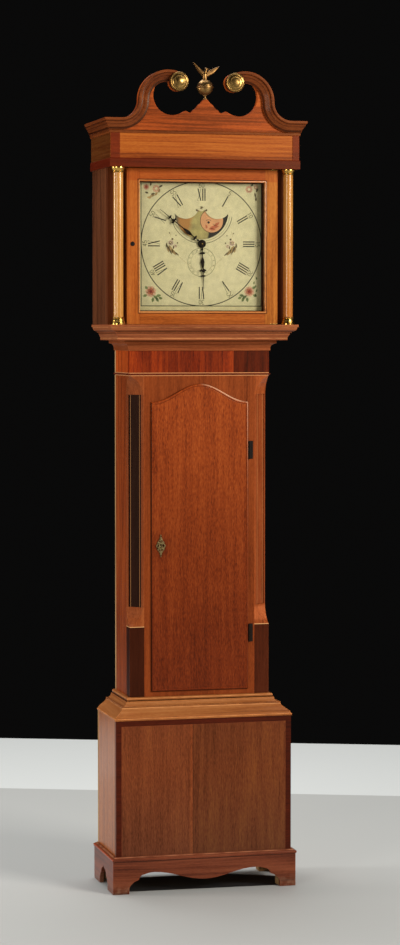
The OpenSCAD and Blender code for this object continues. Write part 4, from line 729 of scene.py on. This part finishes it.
def painted(name, finish, patches, lift=0.00015, body="case", slot="painted_dial", face=DIAL_FACE):
    points, faces = [], []
    for patch in patches:
        faces.append(tuple(range(len(points), len(points) + len(patch))))
        points += [(CENTRE.x + x / 1000, face - lift, CENTRE.z + z / 1000) for x, z in patch]
    return add_mesh(name, points, faces, finish, body, slot, smooth=False)


# Each sign's width, and its strokes: where they start and end across that width, and how thick they are
SIGNS = {"I": (2.6, [(0.5, 0.5, 2.8)]), "V": (9.0, [(0.15, 0.5, 2.8), (0.95, 0.55, 0.8)]),
         "X": (9.4, [(0.12, 0.88, 2.8), (0.95, 0.05, 0.8)])}
SIGN_GAP, SERIF, HOUR_TOP, HOUR_FOOT = 3.4, 0.9, 146, 115
hours = []
for hour, text in enumerate("XII I II III IIII V VI VII VIII IX X XI".split()):
    at = -(sum(SIGNS[sign][0] for sign in text) + SIGN_GAP * (len(text) - 1)) / 2
    for sign in text:
        wide, legs = SIGNS[sign]
        for top, foot, width in legs:
            leg = [(at + top * wide, HOUR_TOP), (at + foot * wide, HOUR_FOOT)]
            hours += pen(spoke(hour / 12, leg), width)
            for x, r in leg:
                hours += pen(spoke(hour / 12, [(x - SERIF - width / 2, r), (x + SERIF + width / 2, r)]), 0.6)
        at += wide + SIGN_GAP
painted("hour_numerals", paint("numeral_brown", "1f180d", rough=0.5), hours)


def bow(x, z, wide, tall, start=0, end=360, steps=12):
    """An arc of an ellipse, for the round parts of a figure that is 4 wide and 8 tall."""
    turns = [math.radians(start + (end - start) * i / steps) for i in range(steps + 1)]
    return [(x + wide * math.cos(a), z + tall * math.sin(a)) for a in turns]


FIGURES = {
    "0": [bow(2, 4, 2, 4)],
    "1": [[(1.2, 6.8), (2.2, 8), (2.2, 0)]],
    "2": [bow(2, 6, 2, 2, 165, -35) + [(0, 0), (4, 0)]],
    "3": [bow(2, 6.1, 1.8, 1.9, 150, -80), bow(2, 2.2, 2, 2.2, 85, -150)],
    "4": [[(3, 0), (3, 8), (0, 2.6), (4, 2.6)]],
    "5": [[(3.6, 8), (0.7, 8), (0.4, 4.3)] + bow(1.9, 2.5, 2.1, 2.5, 125, -150)],
    "6": [bow(2, 2.3, 2, 2.3), bow(4.6, 2.3, 4.6, 5.7, 180, 105, 6)],
    "7": [[(0, 8), (4, 8), (1.2, 0)]],
    "8": [bow(2, 6.1, 1.7, 1.9), bow(2, 2.1, 2, 2.1)],
    "9": [bow(2, 5.7, 2, 2.3), bow(-0.6, 5.7, 4.6, 5.7, 0, -75, 6)],
}


def figures(text, scale, turn, out, width):
    quads, start = [], -(5.4 * len(text) - 1.4) / 2
    for k, sign in enumerate(text):
        for line in FIGURES[sign]:
            drawn = [((start + 5.4 * k + x) * scale, z * scale) for x, z in line]
            quads += pen(spoke(turn, drawn, out), width)
    return quads


minutes, days = [], []
for k in range(1, 13):
    minutes += figures(str(5 * k), 1.5, k / 12, 149, 1.4)
for day in range(1, 32, 2):
    days += [[(x, z + DATE_Z) for x, z in quad] for quad in figures(str(day), 0.6, day / 31, 31, 0.55)]
faint_brown = paint("faint_brown", "6f6945", rough=0.5)
painted("minute_figures", faint_brown, minutes)
painted("date_figures", faint_brown, days)


# Flowers on the dial: a pink rose with leaves in each corner, the upper ones faded, a brown and cream spray
# at each side, and a star and dots over the moon, all laid on with single brush strokes.
def leaf(x, z, length, width, angle, blunt=0.5, steps=8):
    """The outline of one stroke: round like a petal at 0.5, pointed like a leaf from 1 up."""
    cos, sin = math.cos(math.radians(angle)), math.sin(math.radians(angle))
    half = []
    for share in [k / steps for k in range(steps + 1)]:
        half.append((length * (share - 0.5), width / 2 * math.sin(math.pi * share) ** blunt))
    edge = half + [(u, -v) for u, v in half[-2:0:-1]]
    return [(x + u * cos - v * sin, z + u * sin + v * cos) for u, v in edge]


def petals(x, z, r, count, out, length, width, turn=0):
    """Strokes side by side round the middle of a flower."""
    strokes = []
    for angle in [turn + 360 * k / count for k in range(count)]:
        cos, sin = math.cos(math.radians(angle)), math.sin(math.radians(angle))
        strokes.append(leaf(x + r * out * cos, z + r * out * sin, r * length, r * width, angle + 90))
    return strokes


def sided(side, x, z, length, width, angle, blunt=1.0):
    """A stroke of the right-hand spray, or its mirror image on the left."""
    return leaf(side * x, z, length, width, angle if side == 1 else 180 - angle, blunt)


ROSES = ((-139, -127, 16), (132, -126, 15), (-151, 149, 9))
FADED_ROSES = ((-124, 145, 11), (131, 146, 11), (150, 152, 7))
pale, rosy, deep, green, brown, buff, cream = [], [], [], [], [], [], []
for x, z, r in ROSES + FADED_ROSES:
    pale += petals(x, z, r, 7, 0.62, 0.8, 0.62, x)
for x, z, r in ROSES:
    rosy += petals(x, z, r, 5, 0.34, 0.6, 0.5, x)
    deep += petals(x, z, r, 3, 0.12, 0.42, 0.22, x + 30)
for x, z, r in FADED_ROSES:
    rosy += petals(x, z, r, 5, 0.45, 0.5, 0.10, x)
ROSE_LEAVES = ((12, -13, 15, -35), (19, -9, 13, 10), (16, -19, 12, -60), (5, -19, 12, -100),
               (-14, -9, 11, 200), (-11, 10, 9, 130), (24, -15, 10, -20))
for side, x, z in ((1, -139, -128), (-1, 132, -127)):
    for dx, dz, length, angle in ROSE_LEAVES:
        place = x + side * dx * 1.1, z + dz * 1.1
        green.append(leaf(*place, length * 1.15, 7.5, angle if side == 1 else 180 - angle, 1.1))
TENDRIL = ((145, -103, 9, 80), (149, -113, 10, 60), (152, -124, 10, 70), (150, -136, 10, 100),
           (152, -91, 9, 95))
FADED_LEAVES = ((-150, 134, 11, -20), (-139, 156, 10, 70), (-112, 151, 15, 30), (-133, 131, 12, 15),
                (148, 131, 15, 100), (153, 144, 13, 70), (139, 157, 10, 40), (150, 120, 12, 85))
PALE_LEAVES = ((-135, 126, 16, 20), (-124, 131, 13, 50), (-143, 121, 13, -10), (-116, 139, 12, 70))
green += [leaf(x, z, length, 4.5, angle, 1.1) for x, z, length, angle in TENDRIL]
brown += [leaf(x, z, length, 5, angle, 1.1) for x, z, length, angle in FADED_LEAVES]
buff += [leaf(x, z, length, 6, angle, 1.0) for x, z, length, angle in PALE_LEAVES]
SPRAY_BUFF = ((84, -15, 24, 9, 62, 0.8), (76, -22, 22, 7, 55), (92, -14, 20, 6, 80))
SPRAY_BROWN = ((88, -16, 30, 5, 62), (69, -26, 19, 4, 40), (96, -4, 15, 4, 100), (80, 12, 6, 5, 0, 0.5),
               (66, 2, 4, 4, 0, 0.5), (70, 22, 3, 3, 0, 0.5), (88, 28, 4, 3, 60, 0.5), (77, -10, 10, 4, 90))
for side in (-1, 1):
    cream += petals(side * 84, 2, 9, 6, 0.5, 0.9, 0.7) + petals(side * 72, -6, 6, 5, 0.5, 0.9, 0.7)
    buff += petals(side * 85, 3, 5, 4, 0.5, 0.7, 0.4) + petals(side * 71, -7, 4, 4, 0.5, 0.7, 0.4)
    buff += [sided(side, *stroke) for stroke in SPRAY_BUFF]
    brown += [sided(side, *stroke) for stroke in SPRAY_BROWN]
    buff += pen([(side * (62 - 7 * k - 0.3 * k * k), -34 - 6.5 * k) for k in range(6)], 0.5)
    buff += pen([(side * 80, 10), (side * 86, 22), (side * 82, 34)], 0.5)
brown += petals(0, 96, 5, 5, 0.5, 0.5, 1.0) + [leaf(side * 13, 89, 7, 5, side * 40, 0.6) for side in (-1, 1)]
painted("rose_petals", paint("petal_pale", "e6b48f"), pale, 0.00014)
painted("rose_hearts", paint("petal_rosy", "cf7a56"), rosy, 0.00018)
painted("rose_middles", paint("petal_deep", "a33f2b"), deep, 0.00022)
painted("spray_petals", paint("petal_cream", "f0d2b4"), cream, 0.00012)
painted("rose_leaves", paint("leaf_green", "7f8a52", mottle=0.3), green)
painted("brown_leaves", paint("leaf_brown", "6a5836", mottle=0.3), brown, 0.00022)
painted("buff_leaves", paint("leaf_buff", "b3925c", mottle=0.3), buff)


# Moon disc: a brass disc painted as a night sky that turns behind the scalloped opening, dusky at its rim,
# olive and orange between, with two round faces that come up in turn.
MOON_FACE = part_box("moon_disc")[0].y


def dusk(place, colour):
    x, y, z = parts(place)
    smear = sums("MULTIPLY_ADD", blot(place, 30.0, 3.0), 0.03, x)
    colour = lay(colour, spread(smear, -0.002, -0.016), "bf8442")
    colour = lay(colour, spread(smear, -0.034, -0.044), "6b6248")
    return lay(colour, spread(smear, 0.034, 0.040), "2c2416")


dress(paint("moon_sky", "b9a968", dusk, mottle=0.15), "moon_disc")
MOON_X, MOON_DROP, MOON_R = 29, -24.5, 31
rims, faces, cheeks, eyes = [], [], [], []
for turn in (1, -1):
    def on_disc(stroke):
        """A stroke for the right-hand moon, turned half round for the other one."""
        return [(turn * x, MOON_Z + turn * z) for x, z in stroke]

    faces.append(on_disc(bow(MOON_X, MOON_DROP, MOON_R, MOON_R, 0, 350, 35)))
    rims.append(on_disc(bow(MOON_X, MOON_DROP, MOON_R + 1.3, MOON_R + 1.3, 0, 350, 35)))
    for cheek in ((36, -41, 26, 9, 12, 0.7), (43, -33, 18, 6, 30, 0.8), (30, -47, 20, 6, -8, 0.8),
                  (14, -40, 12, 5, 110, 0.8)):
        cheeks.append(on_disc(leaf(*cheek)))
    lids = pen(bow(20, -28, 8, 6, 30, 150, 8), 0.9) + pen(bow(40, -30, 9, 6, 200, 330, 8), 0.7)
    eyes += [on_disc(stroke) for stroke in [leaf(20, -29, 7, 6.5, 0, 0.6)] + lids]
on_moon_disc = {"body": "moon_disc", "slot": "painted_moon", "face": MOON_FACE}
painted("moon_rims", paint("moon_rim", "4a3016"), rims, 0.0001, **on_moon_disc)
painted("moon_faces", paint("moon_peach", "e9a874", mottle=0.06), faces, 0.0002, **on_moon_disc)
painted("moon_cheeks", paint("moon_rosy", "cf7048"), cheeks, 0.0003, **on_moon_disc)
painted("moon_eyes", paint("moon_eye", "2f2418"), eyes, 0.0003, **on_moon_disc)


# Hands: sawn and filed from sheet steel and blued so deep that they look black, pushed on the pipes at the
# dial's centre.
dress(metal("hand_steel", "2a2420", "100c0a", rough=0.34, patina=0.6, scale=80), "hour_hand", "minute_hand",
      "date_hand")


# Hood carcass and front frame: thin mahogany sides and the plain frame behind the door, both dark.
FRIEZE_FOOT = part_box("hood_frieze")[0].z


def roof_grain(place, colour):
    board = grain_laid(place, "X", "584230", "6d543c", "3c2c20", Figure=0.4)
    roof = spread(parts(place)["Z"], FRIEZE_FOOT + 0.001, FRIEZE_FOOT + 0.003)
    return dye(roof, colour, board["Color"])


dress(timber("hood_side_wood", "5b311b", "734125", "391b0d", fleck=0.7, pores=0.9, polish=0.4, coat=0.1,
             tint=roof_grain), "hood_carcass")
dress(timber("hood_frame_wood", "552712", "6d361b", "341408", figure=0.3), "hood_front_frame")


# Moulded base of the hood, on which the hood slides: an ovolo over a cove of mahogany, run in one piece
# along the front and sides, mitred at the corners and dovetailed to the carcass.
SLIDE_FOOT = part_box("hood_base")[0].z


def slide_lines(place, colour):
    # Dark lines in the quirks and pale ones on the arrises: dirt and wear with painted shade and highlight.
    dirty_and_shaded, rubbed_and_highlit = [SLIDE_FOOT + 0.0185, SLIDE_FOOT + 0.0245], [SLIDE_FOOT + 0.005, SLIDE_FOOT + 0.034]
    return run_lines(place, colour, dirty_and_shaded, rubbed_and_highlit)


dress(timber("hood_base_wood", "89492a", "a06039", "5d2c16", "XY", figure=0.45, fleck=0.35, wear_and_sheen=0.7,
             radius=0.002, tint=slide_lines), "hood_base")


# Frieze over the hood door: one bright board of satinwood-like mahogany with its grain across, framed by
# a proud dark band under it and dark mahogany end bands, and the cornice above.
FRIEZE_LEFT, FRIEZE_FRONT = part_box("hood_frieze")[0].x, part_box("hood_frieze")[0].y
BAND_TALL = 0.023


def darker_sides(place, colour):
    side = spread(parts(place)["Y"], FRIEZE_FRONT + 0.002, FRIEZE_FRONT + 0.003)
    return stain(colour, side, (0.30, 0.32, 0.45))


def dark_below(place, colour):
    band = spread(parts(place)["Z"], FRIEZE_FOOT + BAND_TALL + 0.0005, FRIEZE_FOOT + BAND_TALL - 0.0005)
    return stain(colour, band, (0.72, 0.62, 0.62))


dress(timber("frieze_orange", "924411", "a85a1d", "682a09", "XY", figure=0.9, lines=5, fleck=0.4, coat=0.1,
             tint=darker_sides), "hood_frieze")
dress(timber("banding_mahogany", "621d07", "77280b", "3d0c06", "XY", figure=0.3, fleck=0.4, tint=dark_below),
      "frieze_banding")


# Swan-neck cornice and pediment board: the necks are carved from solid mahogany and meet the level
# moulding in a long curve; the board behind them is one wide piece with its grain across.
CORNICE_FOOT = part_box("swan_neck_cornice")[0].z
# Each line of dirt and painted shade along the moulding: how far it stands out from the frieze,
# from and to, and its tone
NECK_DIRT_AND_SHADE = ((0.0052, 0.0066, (0.3, 0.25, 0.25)), (0.0112, 0.0122, (0.5, 0.42, 0.4)),
             (0.0146, 0.0172, (0.3, 0.25, 0.25)))


def neck_tone(place, colour):
    """Dirt and painted shade in the quirks and down the middle of the moulding;
    its level part is lighter than the necks.
    """
    x, y, z = parts(place)
    out = sums("MAXIMUM", less(FRIEZE_FRONT, y), sums("ADD", sums("ABSOLUTE", x), FRIEZE_LEFT))
    for low, high, ratio in NECK_DIRT_AND_SHADE:
        colour = stain(colour, between(out, low, high, 0.0002), ratio)
    return stain(colour, spread(z, CORNICE_FOOT + 0.048, CORNICE_FOOT + 0.008), (1.18, 1.25, 1.2))


dress(timber("neck_mahogany", "632d10", "7c401c", "3c1606", "XY", figure=0.35, fleck=0.4, wear_and_sheen=1.0, coat=0.08,
             gloss=0.2, radius=0.0022, tint=neck_tone), "swan_neck_cornice")
dress(timber("pediment_wood", "963f12", "ac531a", "662706", "X", figure=0.9, lines=6, fleck=0.4), "tympanum")


# Rosettes and finial: stamped and spun brass, lacquered bright on the domes and brown in the hollows;
# the ball has darkened and the cast eagle on it is the colour of old bronze.
EAGLE_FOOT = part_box("finial")[1].z - 0.045


def bronze_eagle(place, colour):
    eagle = spread(parts(place)["Z"], EAGLE_FOOT - 0.001, EAGLE_FOOT + 0.001)
    return stain(colour, eagle, (0.45, 0.42, 0.42))


dress(metal("bright_brass", "a9854a", "40301a", rough=0.26, patina=0.85, scale=90, wear_and_sheen=0.8), "rosettes")
dress(metal("ball_brass", "b0884f", "5a4128", rough=0.26, patina=1.0, scale=60, wear_and_sheen=0.7, tint=bronze_eagle),
      "finial")


# Columns: smooth turned shafts of golden fruitwood with a soft polish, the right-hand one redder towards
# its foot, between turned brass capitals and bases.
COLUMN_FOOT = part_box("columns")[0].z


def redder_foot(place, colour):
    x, y, z = parts(place)
    low = times(spread(x, -0.1, 0.1), spread(z, COLUMN_FOOT + 0.27, COLUMN_FOOT + 0.07))
    return stain(colour, low, (0.88, 0.66, 0.55))


dress(timber("column_wood", "b97d35", "cd9651", "8d5623", figure=0.35, lines=10, fleck=0.25, pores=0.3,
             wear_and_sheen=0.0, polish=0.2, coat=0.9, gloss=0.4, tint=redder_foot), "columns")
dress(metal("cap_brass", "dcae5a", "6f4e22", rough=0.22, patina=0.5, scale=140, wear_and_sheen=0.9), "column_mounts",
      "hood_door_pivots")


# Hood door: stiles that run through from top to bottom with rails between them, a thin dark line and a
# small light bead round the opening, and a keyhole in the left-hand stile.
hood_door_low, hood_door_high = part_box("hood_door")
hood_door_middle = (hood_door_low + hood_door_high) / 2
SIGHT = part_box("hood_glass")[1].x - 0.0075


def rails_across(place, colour):
    x, y, z = parts(place)
    cross = grain_laid(place, "X", "9c4e18", "b26425", "71330b")
    side = sums("ABSOLUTE", x)
    rail = spread(side, SIGHT + 0.0002, SIGHT - 0.0002)
    top_rail = spread(z, hood_door_middle.z + SIGHT, hood_door_middle.z + SIGHT + 0.002)
    right_stile = times(spread(x, SIGHT, SIGHT + 0.001), less(1.0, rail))
    colour = dye(rail, colour, cross["Color"])
    colour = stain(colour, between(side, SIGHT - 0.0003, SIGHT + 0.0003, 0.0002), (0.3, 0.25, 0.25))
    return stain(stain(colour, top_rail, (0.88, 0.68, 0.62)), right_stile, (1.12, 1.4, 1.4))


dress(timber("hood_door_wood", "9c4e18", "b26425", "71330b", fleck=0.5, wear_and_sheen=0.6, coat=0.1,
             tint=rails_across), "hood_door")


def sight_strip(name, section, finish, slot):
    """A strip round the opening; each point of its section is how far out and how far back it lies."""
    rings = []
    for out, back in section + section[:1]:
        half, y, z = SIGHT + out, hood_door_low.y + back, hood_door_middle.z
        rings.append([(-half, y, z - half), (half, y, z - half), (half, y, z + half), (-half, y, z + half)])
    add_mesh(name, *loft(rings, capped=False), finish, "hood_door", slot)


bead = [(0.0036, 0.0110), (0.0036, 0.0005), (0.0028, -0.0006), (0.0016, -0.0009), (0.0004, -0.0001),
        (-0.0004, 0.0013), (-0.0004, 0.0110)]
line = [(0.0036, 0.0004), (0.0037, -0.0003), (0.0055, -0.0003), (0.0056, 0.0004)]
bead_wood = timber("bead_wood", "c07a40", "d8975a", "8a4a22", "X", wear_and_sheen=0.3, coat=0.4)
line_wood = timber("line_wood", "3a1a0c", "4a2412", "26100a", "X", wear_and_sheen=0.2)
sight_strip("sight_bead", bead, bead_wood, "orange_mahogany")
sight_strip("sight_line", line, line_wood, "dark_mahogany")
hood_key = Vector((hood_door_low.x + 0.015, hood_door_low.y - 0.0002, hood_door_middle.z + 0.006))
keyhole = key_outline(0.0011, 0.0012, 0.0009, -0.0030, range(-140, 141, 20))
turns = [2 * math.pi * i / 24 for i in range(24)]
plate_rings = [[hood_key + Vector((radius * math.cos(a), lift, radius * math.sin(a))) for a in turns]
               for lift, radius in ((0.0004, 0.0062), (-0.0006, 0.0060), (-0.0009, 0.0052))]
hole_rings = [[hood_key + Vector((x, lift, z)) for x, z in keyhole] for lift in (-0.0008, -0.0011)]
add_mesh("hood_keyhole_plate", *loft(plate_rings), dark_iron, "hood_door", "iron")
# The keyhole is a near-black piece laid on the plate: painted shade for the hole's dark inside.
add_mesh("hood_keyhole", *loft(hole_rings), metal("keyhole_black", "0a0806", "040302", 0.8, 1.0, spots=1.0),
         "hood_door", "iron")


# Glass in the hood door: one pane of old crown glass, thin, clear and slightly wavy, laid in a rebate from
# the back and held by putty.
glass, shader, place = bare_material("old_glass")
wave = knit("Bump", Strength=0.06, Distance=0.002, Height=blot(place, 9.0, 1.0)).outputs[0]
clear = knit("BsdfTransparent", tree=glass.node_tree, Color=(0.975, 0.985, 0.97, 1)).outputs[0]
mirror = knit("BsdfGlossy", Roughness=0.02, Normal=wave).outputs[0]
share = times(knit("Fresnel", tree=glass.node_tree, IOR=1.5).outputs[0], 0.8)
skin = knit("MixShader", i0=share, i1=clear, i2=mirror).outputs[0]
feed(glass.node_tree.nodes["Material Output"], Surface=skin)
dress(glass, "hood_glass")


# Driving rope: one endless loop of three-strand hemp, 6 mm thick, over both drums, down the inner falls
# under the weight's pulley, and down the outer falls to the eye of the small weight that keeps it tight.
hemp, shader, place = bare_material("hemp")
fluff = blot(stretched(place, (1, 1, 0.3)), 900.0, 3.0)
feed(shader, Base_Color=dye(spread(fluff, 0.35, 0.65), shade("7d6238"), shade("b89a66")), Roughness=0.85,
     Normal=knit("Bump", Strength=0.5, Distance=0.0004, Height=fluff).outputs[0])
fall_low, fall_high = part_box("rope_weight_falls")
return_low, return_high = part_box("rope_return_falls")
ROPE_R, STRAND_TURN = (fall_high.y - fall_low.y) / 2, 0.024


def straight(a, b, step=0.0024):
    count = max(2, round((b - a).length / step))
    return [a.lerp(b, k / count) for k in range(count)]


def bend(middle, radius, start, end, steps=28):
    turns = [math.radians(start + (end - start) * k / steps) for k in range(steps + 1)]
    return [middle + radius * Vector((math.cos(a), 0, math.sin(a))) for a in turns]


def rope(name, path, solid, laid=0.0):
    """Three strands laid together along close points: a three-lobed section that turns as it goes."""
    rings = []
    for k, point in enumerate(path):
        ahead = (path[min(k + 1, len(path) - 1)] - path[max(k - 1, 0)]).normalized()
        side = ahead.cross(Vector((0, 1, 0))).normalized()
        up = side.cross(ahead)
        laid += (point - path[max(k - 1, 0)]).length
        twist = 2 * math.pi * laid / STRAND_TURN
        ring = []
        for a in [2 * math.pi * i / 15 for i in range(15)]:
            reach = ROPE_R * (0.66 + 0.34 * abs(math.cos(1.5 * (a - twist))))
            ring.append(point + reach * (math.cos(a) * side + math.sin(a) * up))
        rings.append(ring)
    piece = add_mesh(name, *loft(rings), hemp, None, "rope")
    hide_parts(solid)
    return piece


drive_y = (fall_low.y + fall_high.y) / 2
inner = (fall_high.x - fall_low.x) / 2 - ROPE_R
outer = (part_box("rope_over_drums")[1].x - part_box("rope_over_drums")[0].x) / 2 - ROPE_R
for side, label in ((-1, "left"), (1, "right")):
    drum = Vector((CENTRE.x + side * (inner + outer) / 2, drive_y, fall_high.z))
    over = rope("rope_over_%s_drum" % label, bend(drum, (outer - inner) / 2, 0, 180), "rope_over_drums")
    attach(over, "case")
    top, foot = (Vector((CENTRE.x + side * inner, drive_y, z)) for z in (fall_high.z, fall_low.z))
    fall = rope("rope_fall_%s" % label, straight(top, foot) + [foot], "rope_weight_falls")
    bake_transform(fall)
pulley = Vector((CENTRE.x, drive_y, fall_low.z))
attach(rope("rope_at_pulley", bend(pulley, inner, 180, 360), "rope_under_pulley"), "drive_weight")
eye_r = 0.005
eye = Vector((CENTRE.x, return_low.y + ROPE_R, return_low.z + ROPE_R + eye_r))
left_end, right_end = (Vector((CENTRE.x + side * outer, drive_y, return_high.z - ROPE_R)) for side in (-1, 1))
turn_round = bend(eye, eye_r, 180, 360, 10)
there = straight(left_end, turn_round[0]) + turn_round
back = straight(turn_round[-1], right_end)[1:] + [right_end]
returning = rope("rope_return", there + back, "rope_return_falls")
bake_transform(returning)


# Weights: a cast-iron cylinder hung from a brass pulley in an iron strap, and a small lead ring weight in
# the loop's far end. Both stay out of sight behind the trunk door.
dress(metal("weight_iron", "5a524a", "2a2420", rough=0.5, patina=0.8, scale=22), "drive_weight")
dress(plate_brass, "weight_pulley")
dress(metal("dull_lead", "8c8d90", "4c4c4f", rough=0.6, patina=0.7, scale=40), "counterweight")


# Pendulum: a thin steel rod on a spring, with a lead bob faced in polished brass and a brass nut under it
# that sets the rate.
dress(metal("rod_steel", "96918a", "5a5048", rough=0.3, patina=0.3), "pendulum_rod")
dress(metal("bob_brass", "d8b064", "866330", rough=0.24, patina=0.5, scale=35), "pendulum_bob", "rating_nut")
